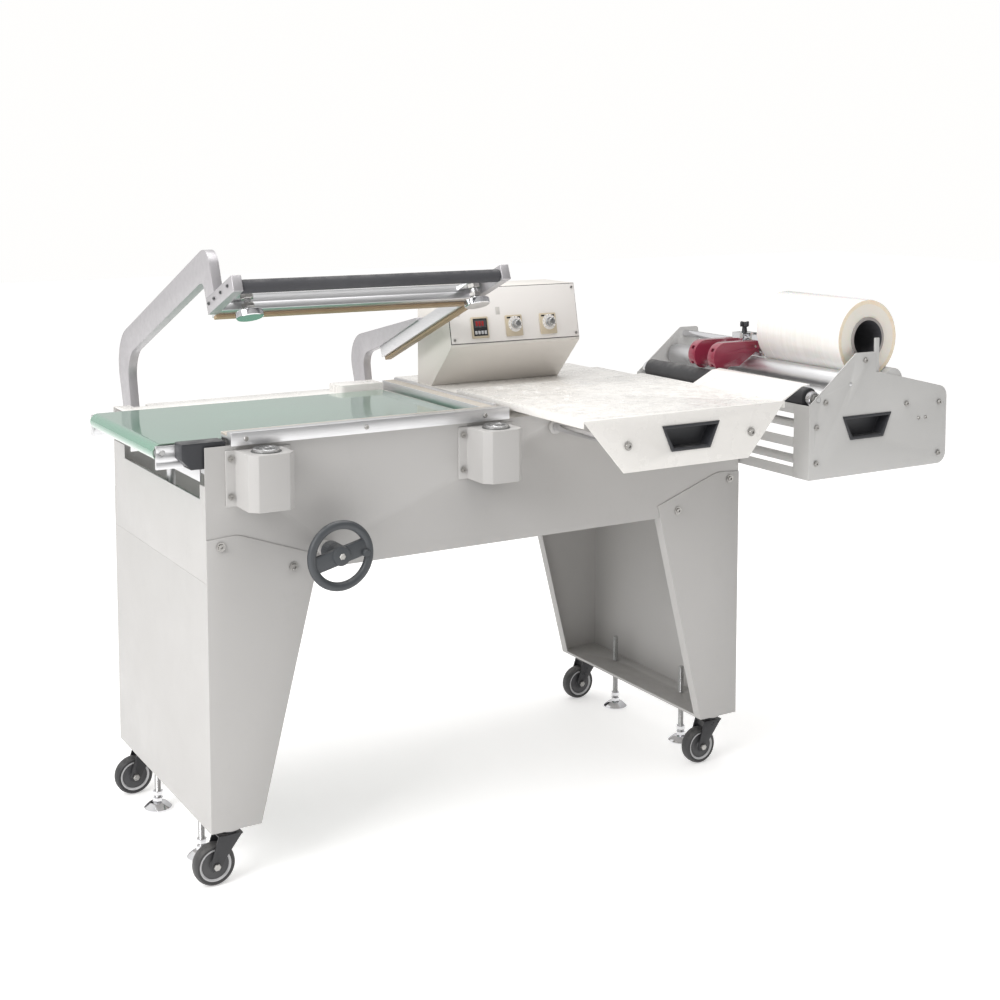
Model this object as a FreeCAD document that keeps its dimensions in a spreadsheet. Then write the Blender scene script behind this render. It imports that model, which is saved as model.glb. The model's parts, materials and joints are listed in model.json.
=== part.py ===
import FreeCAD, Part
import os
import re
import Sketcher

# L-bar sealer for shrink film: a sheet metal stand on casters, a belt conveyor, a hinged
# L-shaped sealing head with electromagnet catches, a sliding film tray and a film unwinder.
# X runs along the machine from the outfeed end, Y to the back, Z up from the floor, in millimetres.
# The sizes are measured from the floor below the front left corner of the stand. The finished
# parts are moved so that the origin is on the floor, below the middle of the whole machine.

document = FreeCAD.newDocument("LBarSealer")
sheet = document.addObject("Spreadsheet::Sheet", "Sizes")

SIZES = {
    # stand
    "centre_across": 736.5, "centre_along": 184.1,
    "stand_width": 1162, "stand_depth": 525, "skin": 2, "deck_height": 782, "beam_bottom": 546,
    "leg_bottom": 105, "leg_foot_width": 93, "leg_top_width": 209, "leg_corner": 571, "leg_crest": 626,
    "leg_crest_in": 57, "leg_edge": 622, "leg_flange": 22, "foot_plate": 6,
    "end_drop": 67, "notch_front": 30, "notch_depth": 26,
    "sheet_lip": 28, "arm_slot": 32, "arm_slot_depth": 26, "bolt_radius": 6, "bolt_head": 4,
    "stop_length": 100, "stop_depth": 54, "stop_height": 17,
    # casters and levelling feet
    "caster_inset": 44, "caster_front": 34, "caster_trail": 29, "wheel_radius": 37.5, "wheel_width": 24,
    "wheel_hub": 21, "axle_radius": 4, "race_radius": 22, "race_thick": 8, "king_pin": 5,
    "fork_plate": 3, "fork_gap": 14, "foot_inset": 33, "foot_front": 145, "foot_back": 393,
    "pad_radius": 27, "pad_height": 14, "stud_radius": 6, "stud_top": 168, "nut_radius": 10, "nut_height": 9,
    "running_gap": 0.05,
    # sealing jaws on the stand
    "jaw_left": 44, "jaw_front": -8, "jaw_depth": 50, "jaw_rise": 23, "jaw_lip": 20, "seat_drop": 8,
    "silicone_thick": 4, "side_jaw_left": 562, "side_jaw_width": 35, "side_lip": 7,
    # electromagnets
    "magnet_left": 96, "magnet_step": 11, "magnet_reach": -36, "magnet_radius": 23.5, "magnet_drop": 2,
    "box_width": 84, "box_front": -72, "box_height": 98, "box_drop": 8, "box_chamfer": 14, "box_wall": 3,
    "box_flange": 18, "core_height": 60, "pole_outer": 17.5, "pole_inner": 11.5,
    # conveyor
    "belt_left": -74, "belt_gap": 6, "belt_front": 52, "belt_back": 425, "belt_rise": 5, "belt_thick": 2,
    "roller_radius": 13, "rail_thick": 7.5, "rail_height": 40, "rail_drop": 3,
    "channel_width": 30, "channel_depth": 28, "cover_left": -38, "cover_right": 40, "cover_front": 8,
    "cover_height": 45, "cover_rise": 3, "roller_pin": 5, "lift_back": 240, "lift_below": 22,
    "lift_radius": 8, "lift_room": 45, "beam_height": 30, "beam_width": 26,
    # handwheel
    "wheel_across": 217, "wheel_rise": 38, "wheel_out": -70, "rim_outer": 62.5, "rim_tube": 8,
    "spindle_radius": 7, "hub_radius": 17, "hub_back": -24, "spoke_width": 32, "spoke_thick": 10,
    # sealing head, in its closed position measured from the pivot shaft
    "pivot_out": 23, "pivot_drop": 60, "head_open": 22, "pivot_radius": 10, "pivot_boss": 23,
    "arm_left_side": 40, "arm_thick": 18, "arm_crown": 198, "arm_depth": 52,
    "nose_step": 29, "heel_reach": 12, "toe_depth": 43, "arm_toe": 112, "arm_throat": -48,
    "bar_bottom": 86, "bar_top": 116, "bar_step": 99, "bar_offset": 8, "bar_depth": 44, "bar_setback": 6,
    "bracket_step": 120, "bracket_bottom": 83, "side_bar_width": 27,
    "side_bar_short": 38, "side_bar_top": 110, "strip_bottom": 80, "strip_width": 14, "strip_inset": 22,
    "grip_step": 106, "grip_up": 95, "grip_radius": 12, "tongue_length": 191, "tongue_front_top": 117,
    "tongue_back_top": 174, "tongue_heel": 16,
    "armature_radius": 24, "armature_thick": 12, "armature_bottom": 59.5, "armature_stud": 7, "lug_up": 103,
    "lug_thick": 8, "lug_width": 26, "lug_step": 46,
    # film tray
    "tray_gap": 11, "tray_width": 464, "tray_front": -240, "tray_back": 215, "tray_rise": 27,
    "tray_thick": 3, "tray_lip": 13, "flap_height": 101, "flap_inset": 88, "rod_inset": 96, "rod_drop": 52,
    "rod_radius": 7, "rod_back": 258, "rod_hanger": 90, "pull_inset": 175, "pull_top_width": 127,
    "pull_bottom_width": 84, "pull_drop": 69, "pull_height": 43, "ramp_length": 68, "ramp_tip": 20,
    "ramp_rise": 25, "ramp_back": 40, "film_inset": 8, "film_thick": 1.5,
    # rear table and control box
    "table_inset": 6, "table_depth": 275, "table_rise": 18,
    "box_inset": 2, "box_length": 314, "box_base": 60, "box_set_back": 113, "panel_out": 86,
    "panel_foot_rise": 89, "panel_height": 121.6, "panel_tilt": 78,
    "panel_lean": 25.3, "panel_rise": 118.9, "panel_thick": 2, "instrument_up": 15,
    "instrument_height": 44, "instrument_width": 40, "controller_in": 50, "timer_in": 132, "timer_pitch": 84,
    "bezel_thick": 4, "dial_up": 40, "dial_radius": 10, "dial_height": 13,
    # film unwinder
    "side_gap": 5, "side_length": 380, "side_front": -206, "side_back": 370, "side_thick": 3,
    "side_height": 150, "shoulder_rise": 5, "tooth_in": 121, "tooth_width": 52, "tooth_height": 97,
    "tooth_depth": 42, "side_fall": 10, "side_flange": 43, "slat_height": 20, "slat_middle": 60,
    "guide_in": 18, "guide_drop": 40, "guide_apart": 72, "guide_radius": 9, "guide_front": 45,
    "guide_pitch": 125, "guide_block": 30, "guide_wall": 12.5, "tie_in": 23, "tie_drop": 20, "tie_rise": 23,
    "tie_radius": 6, "side_pull_in": 90, "side_pull_drop": 75, "roll_in": 168, "roll_rise": 121,
    "roll_radius": 80, "roll_start": 18, "roll_length": 248, "core_outer": 44, "core_inner": 38,
    "cradle_spread": 60, "cradle_radius": 25, "cradle_gap": 0.3, "cradle_pin": 4, "nip_in": 23, "nip_rise": 10,
    "nip_radius": 21, "nip_pin": 6, "punch_ahead": 32, "punch_gap": 0.5, "punch_rod": 8, "punch_start": 6,
    "punch_pitch": 66, "clamp_length": 36, "clamp_half": 20, "clamp_rise": 22, "arm_width": 22,
    "hinge_ahead": 33, "punch_nose_radius": 32, "needle_radius": 24, "needle_gap": 2, "finger_width": 12,
    "finger_in": 2, "finger_rise": 27,
}

# Heights and places that follow from the sizes above.
DERIVED = {
    "inner_front": "2 * skin",
    "inner_back": "stand_depth - 2 * skin",
    "leg_slope": "(leg_top_width - leg_foot_width) / (leg_corner - leg_bottom)",
    "foot_top": "leg_bottom + foot_plate",
    "foot_top_width": "leg_foot_width + foot_plate * leg_slope",
    "leg_neck_width": "leg_foot_width + (beam_bottom - leg_bottom) * leg_slope",
    "caster_back": "stand_depth - caster_front",
    "end_top": "deck_height - end_drop",
    "notch_floor": "end_top - notch_depth",
    "notch_back": "belt_back + 31",
    "deck_strip_front": "belt_back + 15",
    "jaw_back": "jaw_front + jaw_depth",
    "jaw_top": "deck_height + jaw_rise",
    "jaw_seat": "jaw_top - seat_drop",
    "silicone_top": "jaw_seat + silicone_thick",
    "side_jaw_right": "side_jaw_left + side_jaw_width",
    "side_jaw_back": "belt_back + 33",
    "magnet_right": "side_jaw_left - magnet_step",
    "magnet_top": "deck_height - magnet_drop",
    "box_top": "deck_height - box_drop",
    "box_bottom": "box_top - box_height",
    "belt_right": "side_jaw_left - belt_gap",
    "belt_top": "deck_height + belt_rise",
    "belt_inner": "belt_top - belt_thick",
    "roller_up": "belt_inner - roller_radius",
    "belt_bottom": "roller_up - roller_radius - belt_thick",
    "belt_bend": "roller_radius + belt_thick",
    "rail_top": "belt_top - rail_drop",
    "rail_bottom": "rail_top - rail_height",
    "rail_front": "belt_front - rail_thick - 0.5",
    "rail_back": "belt_back + 0.5",
    "cover_top": "belt_top + cover_rise",
    "cover_bottom": "cover_top - cover_height",
    "beam_low": "rail_bottom - channel_depth - lift_room - beam_height",
    "lift_low": "beam_low - lift_below",
    "wheel_up": "beam_bottom + wheel_rise",
    "pivot_back": "stand_depth + pivot_out",
    "pivot_up": "deck_height - pivot_drop",
    "arm_left_in": "arm_left_side + arm_thick",
    "arm_right_side": "side_jaw_left - 2",
    "arm_under": "arm_crown - arm_depth",
    "bar_front": "jaw_front + bar_offset - pivot_back",
    "bar_back": "bar_front + bar_depth",
    "nose_reach": "bar_front - nose_step",
    "bracket_reach": "bar_front - bracket_step",
    "grip_reach": "bar_front - grip_step",
    "lug_reach": "bar_front - lug_step",
    "side_bar_left": "side_jaw_left + 1",
    "side_bar_back": "side_jaw_back - side_bar_short - pivot_back",
    "tongue_front": "side_bar_back - tongue_length",
    "grip_length": "side_bar_left - arm_left_in",
    "tray_left": "side_jaw_right + tray_gap",
    "tray_right": "tray_left + tray_width",
    "tray_top": "deck_height + tray_rise",
    "tray_under": "tray_top - tray_thick",
    "flap_bottom": "tray_top - flap_height",
    "rod_left": "tray_left + rod_inset",
    "rod_right": "tray_right - rod_inset + 13",
    "rod_up": "tray_top - rod_drop",
    "pull_left": "tray_left + pull_inset",
    "pull_up": "tray_top - pull_drop",
    "ramp_right": "tray_right + ramp_length",
    "ramp_fold": "ramp_right - ramp_tip",
    "ramp_up": "tray_top + ramp_rise",
    "table_left": "tray_left + table_inset",
    "table_right": "tray_right - table_inset",
    "table_front": "tray_back + 10",
    "table_back": "table_front + table_depth",
    "table_top": "deck_height + table_rise",
    "box_left": "table_left + box_inset",
    "box_base_front": "table_front + box_set_back",
    "box_back": "box_base_front + box_base",
    "panel_foot": "box_base_front - panel_out",
    "panel_foot_up": "table_top + panel_foot_rise",
    "side_left": "stand_width + side_gap",
    "side_right": "side_left + side_length",
    "shoulder": "deck_height + shoulder_rise",
    "side_bottom": "shoulder - side_height",
    "side_end": "shoulder + side_fall",
    "tooth_left": "side_left + tooth_in",
    "tooth_right": "tooth_left + tooth_width",
    "tooth_top": "shoulder + tooth_height",
    "tooth_root": "tooth_top - tooth_depth",
    "guide_across": "side_left + guide_in",
    "guide_high": "deck_height - guide_drop",
    "guide_low": "guide_high - guide_apart",
    "tie_across": "side_right - tie_in",
    "tie_low": "side_bottom + tie_rise",
    "tie_high": "shoulder - tie_drop",
    "side_pull_left": "side_left + side_pull_in",
    "side_pull_up": "shoulder - side_pull_drop",
    "roll_across": "side_left + roll_in",
    "roll_up": "shoulder + roll_rise",
    "roll_front": "side_front + roll_start",
    "roll_back": "roll_front + roll_length",
    "cradle_up": "roll_up - sqrt((roll_radius + cradle_radius)^2 - cradle_spread^2)",
    "plate_front": "side_front + side_thick",
    "plate_back": "side_back - side_thick",
    "nip_across": "side_left + nip_in",
    "nip_up": "shoulder + nip_rise",
    "punch_across": "roll_across - punch_ahead",
    "punch_up": "cradle_up + cradle_radius + clamp_rise + punch_gap",
    "punch_front": "roll_back + punch_start",
    "punch_length": "plate_back - punch_front",
    "punch_pivot": "punch_across - hinge_ahead",
    "punch_nose": "nip_across - 2",
    "punch_nose_up": "nip_up + nip_radius + punch_nose_radius",
    "needle_up": "nip_up + nip_radius + needle_radius + needle_gap",
    "finger_top": "tooth_top + finger_rise",
}


def fill_sheet():
    for row, (alias, size) in enumerate(SIZES.items(), start=1):
        sheet.set("A%d" % row, alias)
        sheet.set("B%d" % row, str(size))
        sheet.setAlias("B%d" % row, alias)
    document.recompute()


def sized(text):
    """An expression on the sheet: derived names are written out, aliases get the sheet's name."""
    text = str(text)
    while True:
        opened = re.sub(r"[a-z_]+", lambda m: "(%s)" % DERIVED[m[0]] if m[0] in DERIVED else m[0], text)
        if opened == text:
            break
        text = opened
    return re.sub(r"[a-z_]+", lambda m: "Sizes." + m[0] if m[0] in SIZES else m[0], text)


def value(text):
    return float(sheet.evalExpression(sized(text)))


fill_sheet()
nodes = []


def new_body(label, place=("0", "0", "0")):
    body = document.addObject("PartDesign::Body", label)
    body.Label = label
    body.AllowCompound = True
    place_node(body, place)
    nodes.append(body)
    return body


def put(part, place):
    for axis, text in zip("xyz", place):
        part.setExpression("Placement.Base." + axis, sized(text))


def place_node(node, place):
    across, along, up = place
    put(node, ("%s - centre_across" % across, "%s - centre_along" % along, up))


def origin_plane(body, plane):
    return next(f for f in body.Origin.OriginFeatures if f.Role == plane + "_Plane")


def hold(sketch, geometry, point, across, up):
    """Dimensions from the sketch's origin that hold one point."""
    for kind, text in (("DistanceX", across), ("DistanceY", up)):
        index = sketch.addConstraint(Sketcher.Constraint(kind, -1, 1, geometry, point, value(text)))
        sketch.setExpression("Constraints[%d]" % index, sized(text))


def draw_circle(sketch, across, up, radius):
    centre = FreeCAD.Vector(value(across), value(up), 0)
    circle = sketch.addGeometry(Part.Circle(centre, FreeCAD.Vector(0, 0, 1), value(radius)))
    index = sketch.addConstraint(Sketcher.Constraint("Radius", circle, value(radius)))
    sketch.setExpression("Constraints[%d]" % index, sized(radius))
    hold(sketch, circle, 3, across, up)


def draw_polygon(sketch, points):
    corners = [FreeCAD.Vector(value(a), value(b), 0) for a, b in points]
    first = sketch.GeometryCount
    count = len(points)
    for i in range(count):
        sketch.addGeometry(Part.LineSegment(corners[i], corners[(i + 1) % count]))
    for i in range(count):
        sketch.addConstraint(Sketcher.Constraint("Coincident", first + i, 2, first + (i + 1) % count, 1))
    for i, (across, up) in enumerate(points):
        hold(sketch, first + i, 1, across, up)


def profile(body, plane, start, loops):
    sketch = body.newObject("Sketcher::SketchObject", "Profile")
    sketch.AttachmentSupport = (origin_plane(body, plane), [""])
    sketch.MapMode = "FlatFace"
    side = "-1 * " if plane == "XZ" else ""
    sketch.setExpression("AttachmentOffset.Base.z", sized(side + "(%s)" % start))
    for loop in loops:
        if isinstance(loop, tuple):
            draw_circle(sketch, *loop)
        else:
            draw_polygon(sketch, loop)
    return sketch


def pad(body, plane, start, end, *loops):
    """A slab of the given outline between two places on the plane's axis."""
    sketch = profile(body, plane, start, loops)
    slab = body.newObject("PartDesign::Pad", "Slab")
    slab.Profile = sketch
    slab.setExpression("Length", sized("(%s) - (%s)" % (end, start)))
    slab.Reversed = plane == "XZ"
    document.recompute()
    return slab


def cut(body, plane, start, end, *loops):
    """A pocket of the given outline between two places on the plane's axis."""
    before = body.Shape.Volume
    sketch = profile(body, plane, start, loops)
    pocket = body.newObject("PartDesign::Pocket", "Opening")
    pocket.Profile = sketch
    pocket.setExpression("Length", sized("(%s) - (%s)" % (end, start)))
    pocket.Reversed = plane != "XZ"
    document.recompute()
    if body.Shape.Volume > before - 1e-3:
        raise RuntimeError("an opening in %s removes nothing" % body.Label)
    return pocket


def turn(body, points):
    """A full turn about the body's Z axis of an outline given as (radius, height) points."""
    sketch = profile(body, "XZ", "0", [points])
    spun = body.newObject("PartDesign::Revolution", "Turned")
    spun.Profile = sketch
    spun.ReferenceAxis = (sketch, ["V_Axis"])
    spun.Angle = 360
    document.recompute()
    return spun


def corner_edges(body, plane, corners):
    """Names of the straight edges that stand on the plane at the given corners."""
    first, second = {"XY": (0, 1), "XZ": (0, 2), "YZ": (1, 2)}[plane]
    spots = [(value(a), value(b)) for a, b in corners]
    found = []
    for number, edge in enumerate(body.Tip.Shape.Edges, start=1):
        ends = [vertex.Point for vertex in edge.Vertexes]
        if len(ends) != 2:
            continue
        for a, b in spots:
            if all(abs(end[first] - a) < 0.01 and abs(end[second] - b) < 0.01 for end in ends):
                found.append("Edge%d" % number)
    if not found:
        raise RuntimeError("no corner to shape in " + body.Label)
    return found


def shape_corners(body, plane, corners, size, kind="Fillet"):
    base = body.Tip
    names = corner_edges(body, plane, corners)
    feature = body.newObject("PartDesign::" + kind, kind)
    feature.Base = (base, names)
    feature.setExpression("Radius" if kind == "Fillet" else "Size", sized(size))
    document.recompute()
    return feature


def box(left, right, front, back):
    return [(left, front), (right, front), (right, back), (left, back)]


TURNS = {"X": (FreeCAD.Vector(0, 1, 0), 90), "Y": (FreeCAD.Vector(1, 0, 0), -90), "Z": (FreeCAD.Vector(0, 0, 1), 0)}


def cylinder(axis, start, radius, length):
    """A rod that runs from its start along an axis."""
    rod = document.addObject("Part::Cylinder", "Rod")
    rod.Placement = FreeCAD.Placement(FreeCAD.Vector(), FreeCAD.Rotation(*TURNS[axis]))
    put(rod, start)
    rod.setExpression("Radius", sized(radius))
    rod.setExpression("Height", sized(length))
    return rod


def block(start, length, depth, height):
    cuboid = document.addObject("Part::Box", "Block")
    put(cuboid, start)
    cuboid.setExpression("Length", sized(length))
    cuboid.setExpression("Width", sized(depth))
    cuboid.setExpression("Height", sized(height))
    return cuboid


def minus(base, *tools):
    for tool in tools:
        result = document.addObject("Part::Cut", "Cut")
        result.Base = base
        result.Tool = tool
        base = result
    return base


def fuse(*parts):
    result = document.addObject("Part::MultiFuse", "Joined")
    result.Shapes = list(parts)
    return result


def group(label, parts):
    """Several separate solids of one kind that share a node."""
    compound = document.addObject("Part::Compound", label)
    compound.Label = label
    compound.Links = list(parts)
    place_node(compound, ("0", "0", "0"))
    document.recompute()
    nodes.append(compound)
    return compound


# ---- stand ----

def mirrored(points):
    """The same outline at the other end of the stand."""
    return [("stand_width - (%s)" % a, b) for a, b in points]


def leg(label, side):
    body = new_body(label)
    cheek = [("0", "leg_bottom"), ("leg_foot_width", "leg_bottom"), ("leg_top_width", "leg_corner"),
             ("leg_crest_in", "leg_crest"), ("0", "leg_edge")]
    hollow = [("skin", "foot_top"), ("foot_top_width - skin", "foot_top"),
              ("leg_neck_width - skin", "beam_bottom"), ("skin", "beam_bottom")]
    above = box("-1", "leg_top_width + 1", "beam_bottom", "leg_crest + 1")
    window = [("skin", "foot_top"), ("leg_top_width", "foot_top"), ("leg_top_width", "beam_bottom"),
              ("skin", "beam_bottom")]
    across = ["caster_inset", "foot_inset"]
    if side == "right":
        cheek, hollow, above, window = (mirrored(p) for p in (cheek, hollow, above, window))
        across = ["stand_width - (%s)" % a for a in across]
    pad(body, "XZ", "0", "stand_depth", cheek)
    cut(body, "XZ", "skin", "stand_depth - skin", hollow)
    cut(body, "XZ", "skin", "stand_depth - skin", above)
    cut(body, "XZ", "leg_flange", "stand_depth - leg_flange", window)
    holes = [(across[1], place, "stud_radius + running_gap") for place in ("foot_front", "foot_back")]
    cut(body, "XY", "leg_bottom", "foot_top", *holes)
    shape_corners(body, "XZ", [cheek[3]], "60")
    return body


def stand_sheets():
    front = new_body("front_sheet")
    pad(front, "YZ", "0", "stand_width", box("skin", "inner_front", "beam_bottom", "deck_height"))
    pad(front, "YZ", "skin", "stand_width - skin",
        box("skin", "inner_front + sheet_lip", "beam_bottom", "beam_bottom + skin"))
    cut(front, "XZ", "skin", "inner_front", ("wheel_across", "wheel_up", "spindle_radius + 3"),
        ("rod_left", "rod_up", "rod_radius + 2"), ("rod_right", "rod_up", "rod_radius + 2"))

    rear = new_body("rear_sheet")
    back = "stand_depth - skin"
    pad(rear, "YZ", "0", "stand_width", box("inner_back", back, "beam_bottom", "deck_height"))
    pad(rear, "YZ", "skin", "stand_width - skin",
        box("inner_back - sheet_lip", back, "beam_bottom", "beam_bottom + skin"))
    for arm in ("arm_left_side", "arm_right_side"):
        slot = "%s + arm_thick / 2" % arm
        cut(rear, "XZ", "inner_back", back,
            box("%s - arm_slot / 2" % slot, "%s + arm_slot / 2" % slot, "pivot_up - 34", "deck_height"))

    panels = new_body("end_panels")
    low = "beam_bottom"
    pad(panels, "YZ", "0", "skin",
        [("inner_front", low), ("inner_back", low), ("inner_back", "end_top"), ("notch_back", "end_top"),
         ("notch_back", "notch_floor"), ("notch_front", "notch_floor"), ("notch_front", "end_top"),
         ("inner_front", "end_top")])
    pad(panels, "YZ", "stand_width - skin", "stand_width", box("inner_front", "inner_back", low, "deck_height"))


def deck():
    plate = new_body("table_plates")
    inner_right = "stand_width - skin"
    pad(plate, "XY", "deck_height - skin", "deck_height",
        [("skin", "deck_strip_front"), ("side_jaw_left", "deck_strip_front"),
         ("side_jaw_left", "inner_front"), (inner_right, "inner_front"), (inner_right, "inner_back"),
         ("skin", "inner_back")])
    for arm in ("arm_left_side", "arm_right_side"):
        slot = "%s + arm_thick / 2" % arm
        cut(plate, "XY", "deck_height - skin", "deck_height",
            box("%s - arm_slot / 2" % slot, "%s + arm_slot / 2" % slot,
                "inner_back - arm_slot_depth", "inner_back"))
    pad(plate, "XY", "deck_height", "table_top", box("table_left", "table_right", "table_front", "table_back"))
    cut(plate, "XY", "deck_height", "table_top - skin",
        box("table_left + skin", "table_right - skin", "table_front + skin", "table_back - skin"))
    stop_left = "arm_right_side - 5 - stop_length"
    pad(plate, "XY", "deck_height", "deck_height + stop_height",
        box(stop_left, "arm_right_side - 5", "deck_strip_front", "deck_strip_front + stop_depth"))
    shape_corners(plate, "XY", [(stop_left, "deck_strip_front")], "12")


def screw_head(axis, start, radius="bolt_radius", length="bolt_head"):
    return cylinder(axis, start, radius, length)


def frame_bolts():
    face = "-bolt_head"
    heads = []
    for across, up in (("25", "leg_edge - 13"), ("leg_top_width - 50", "beam_bottom + 11")):
        for spot in (across, "stand_width - (%s)" % across):
            heads.append(screw_head("Y", (spot, face, up)))
            heads.append(screw_head("Y", (spot, "stand_depth", up)))
    for magnet in ("magnet_left", "magnet_right"):
        for side in ("-1", "1"):
            for up in ("box_bottom + 18", "box_top - 14"):
                spot = "%s + %s * (box_width / 2 + 9)" % (magnet, side)
                heads.append(screw_head("Y", (spot, "skin - box_wall - bolt_head", up), "4.5"))
    for step in ("27", "255", "500"):
        heads.append(screw_head("Y", ("jaw_left + " + step, "jaw_front - 2", "jaw_top - 12"), "5", "2"))
    group("frame_bolts", heads)


# ---- electromagnets ----

def magnet_box(body, across):
    left, right = across + " - box_width / 2", across + " + box_width / 2"
    back = "skin"
    pad(body, "XY", "box_bottom", "box_top", box(left, right, "box_front", back))
    shape_corners(body, "XY", [(left, "box_front"), (right, "box_front")], "box_chamfer", "Chamfer")
    inner = [(left + " + box_wall", "box_front + box_chamfer"), (left + " + box_chamfer", "box_front + box_wall"),
             (right + " - box_chamfer", "box_front + box_wall"), (right + " - box_wall", "box_front + box_chamfer"),
             (right + " - box_wall", back), (left + " + box_wall", back)]
    cut(body, "XY", "box_bottom", "box_top - box_wall", inner)
    pad(body, "XZ", "skin - box_wall", "skin",
        box(left + " - box_flange", left + " + box_wall", "box_bottom", "box_top"))
    pad(body, "XZ", "skin - box_wall", "skin",
        box(right + " - box_wall", right + " + box_flange", "box_bottom", "box_top"))
    cut(body, "XY", "box_top - box_wall", "box_top", (across, "magnet_reach", "magnet_radius"))


def electromagnets():
    cores = []
    for across in ("magnet_left", "magnet_right"):
        low = "magnet_top - core_height"
        core = cylinder("Z", (across, "magnet_reach", low), "magnet_radius", "core_height")
        groove = minus(cylinder("Z", (across, "magnet_reach", "magnet_top - 1.5"), "pole_outer", "2"),
                       cylinder("Z", (across, "magnet_reach", "magnet_top - 2"), "pole_inner", "3"))
        foot = block((across + " - pole_inner", "magnet_reach - pole_inner", low + " - 4"), "2 * pole_inner",
                     "skin - magnet_reach + pole_inner", "4")
        cores.append(fuse(minus(core, groove), foot))
    group("electromagnets", cores)


# ---- sealing jaws on the stand ----

def jaws():
    long_jaw = new_body("jaw_rail_long")
    rear_lip = "jaw_back - 2"
    pad(long_jaw, "YZ", "jaw_left", "side_jaw_right",
        [("jaw_front", "deck_height"), ("jaw_back", "deck_height"), ("jaw_back", "silicone_top"),
         (rear_lip, "silicone_top"), (rear_lip, "jaw_seat"), ("jaw_front + jaw_lip", "jaw_seat"),
         ("jaw_front + jaw_lip", "jaw_top"), ("jaw_front", "jaw_top")])
    cut(long_jaw, "YZ", "jaw_left", "side_jaw_right",
        box("inner_front + 6", "jaw_back - 6", "deck_height", "jaw_seat - 5"))
    side_jaw = new_body("jaw_rail_side")
    left_lip = "side_jaw_left + 2"
    right_lip = "side_jaw_right - side_lip"
    pad(side_jaw, "XZ", "jaw_back", "side_jaw_back",
        [("side_jaw_left", "deck_height"), ("side_jaw_right", "deck_height"), ("side_jaw_right", "jaw_top"),
         (right_lip, "jaw_top"), (right_lip, "jaw_seat"), (left_lip, "jaw_seat"),
         (left_lip, "silicone_top"), ("side_jaw_left", "silicone_top")])
    strips = [block(("jaw_left", "jaw_front + jaw_lip", "jaw_seat"), "side_jaw_right - jaw_left",
                    "jaw_back - 2 - jaw_front - jaw_lip", "silicone_thick"),
              block((left_lip, "jaw_back", "jaw_seat"), "side_jaw_right - side_lip - side_jaw_left - 2",
                    "side_jaw_back - jaw_back", "silicone_thick")]
    group("jaw_silicone", strips)


# ---- conveyor ----

def racetrack(radius, front, back):
    """A bar with half-round ends, as long as the belt's path."""
    left, right = "belt_left + belt_bend", "belt_right - belt_bend"
    length = "(%s) - (%s)" % (back, front)
    middle = block((left, front, "roller_up - (%s)" % radius), "(%s) - (%s)" % (right, left), length,
                   "2 * (%s)" % radius)
    ends = [cylinder("Y", (end, front, "roller_up"), radius, length) for end in (left, right)]
    return fuse(middle, *ends)


lift_channels = ("6", "belt_right - 66")


def conveyor():
    left, right = "belt_left + 4", "belt_right - 4"
    pin = "belt_left + belt_bend"
    rails = []
    for front, slot_side in (("rail_front", "-1"), ("rail_back", "1")):
        rail = block((left, front, "rail_bottom"), "(%s) - (%s)" % (right, left), "rail_thick", "rail_height")
        outer = "%s + rail_thick / 2 + %s * rail_thick / 2 - 1.5" % (front, slot_side)
        slots = [block((left, outer, "rail_bottom + " + up), "(%s) - (%s)" % (right, left), "3", "4")
                 for up in ("10", "26")]
        bore = cylinder("Y", (pin, front, "roller_up"), "roller_pin + running_gap", "rail_thick")
        rails.append(minus(rail, bore, *slots))
    inner = "rail_front + rail_thick"
    width = "rail_back - rail_front - rail_thick"
    bed = block(("belt_left + 40", inner, "belt_inner - 6"), "belt_right - belt_left - 80", width, "5.9")
    nose = cylinder("Y", ("belt_right - belt_bend", inner, "roller_up"), "roller_radius - 0.1", width)
    channels = []
    for across in lift_channels:
        channel = block((across, "rail_front", "rail_bottom - channel_depth"), "channel_width",
                        "rail_back + rail_thick - rail_front", "channel_depth")
        hollow = block((across + " + skin", "rail_front", "rail_bottom - channel_depth"),
                       "channel_width - 2 * skin", "rail_back + rail_thick - rail_front", "channel_depth - skin")
        channels.append(minus(channel, hollow))
        channels.append(cylinder("Z", (across + " + channel_width / 2", "lift_back", "lift_low"), "lift_radius",
                                 "rail_bottom - skin - lift_low"))
    group("conveyor_frame", rails + [bed, nose] + channels)

    belt = minus(racetrack("belt_bend", "belt_front", "belt_back"),
                 racetrack("roller_radius", "belt_front - 1", "belt_back + 1"))
    group("conveyor_belt", [belt])

    cover = new_body("motor_cover")
    depth_end = "rail_front"
    pad(cover, "XZ", "cover_front", depth_end, [
        ("cover_left", "cover_bottom + 18"), ("cover_left + 16", "cover_bottom"),
        ("cover_right", "cover_bottom"), ("cover_right", "cover_top"), ("cover_left", "cover_top")])
    shape_corners(cover, "XZ", [("cover_left", "cover_top"), ("cover_right", "cover_top")], "3")
    cut(cover, "XZ", "cover_front + skin", depth_end, box(
        "cover_left + 12", "cover_right - skin", "cover_bottom + skin", "cover_top - skin"))

    roller = cylinder("Y", (pin, "belt_front", "roller_up"), "roller_radius - running_gap",
                      "belt_back - belt_front")
    shaft = cylinder("Y", (pin, "rail_front", "roller_up"), "roller_pin", "rail_back + rail_thick - rail_front")
    group("tail_roller", [fuse(roller, shaft)])


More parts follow.
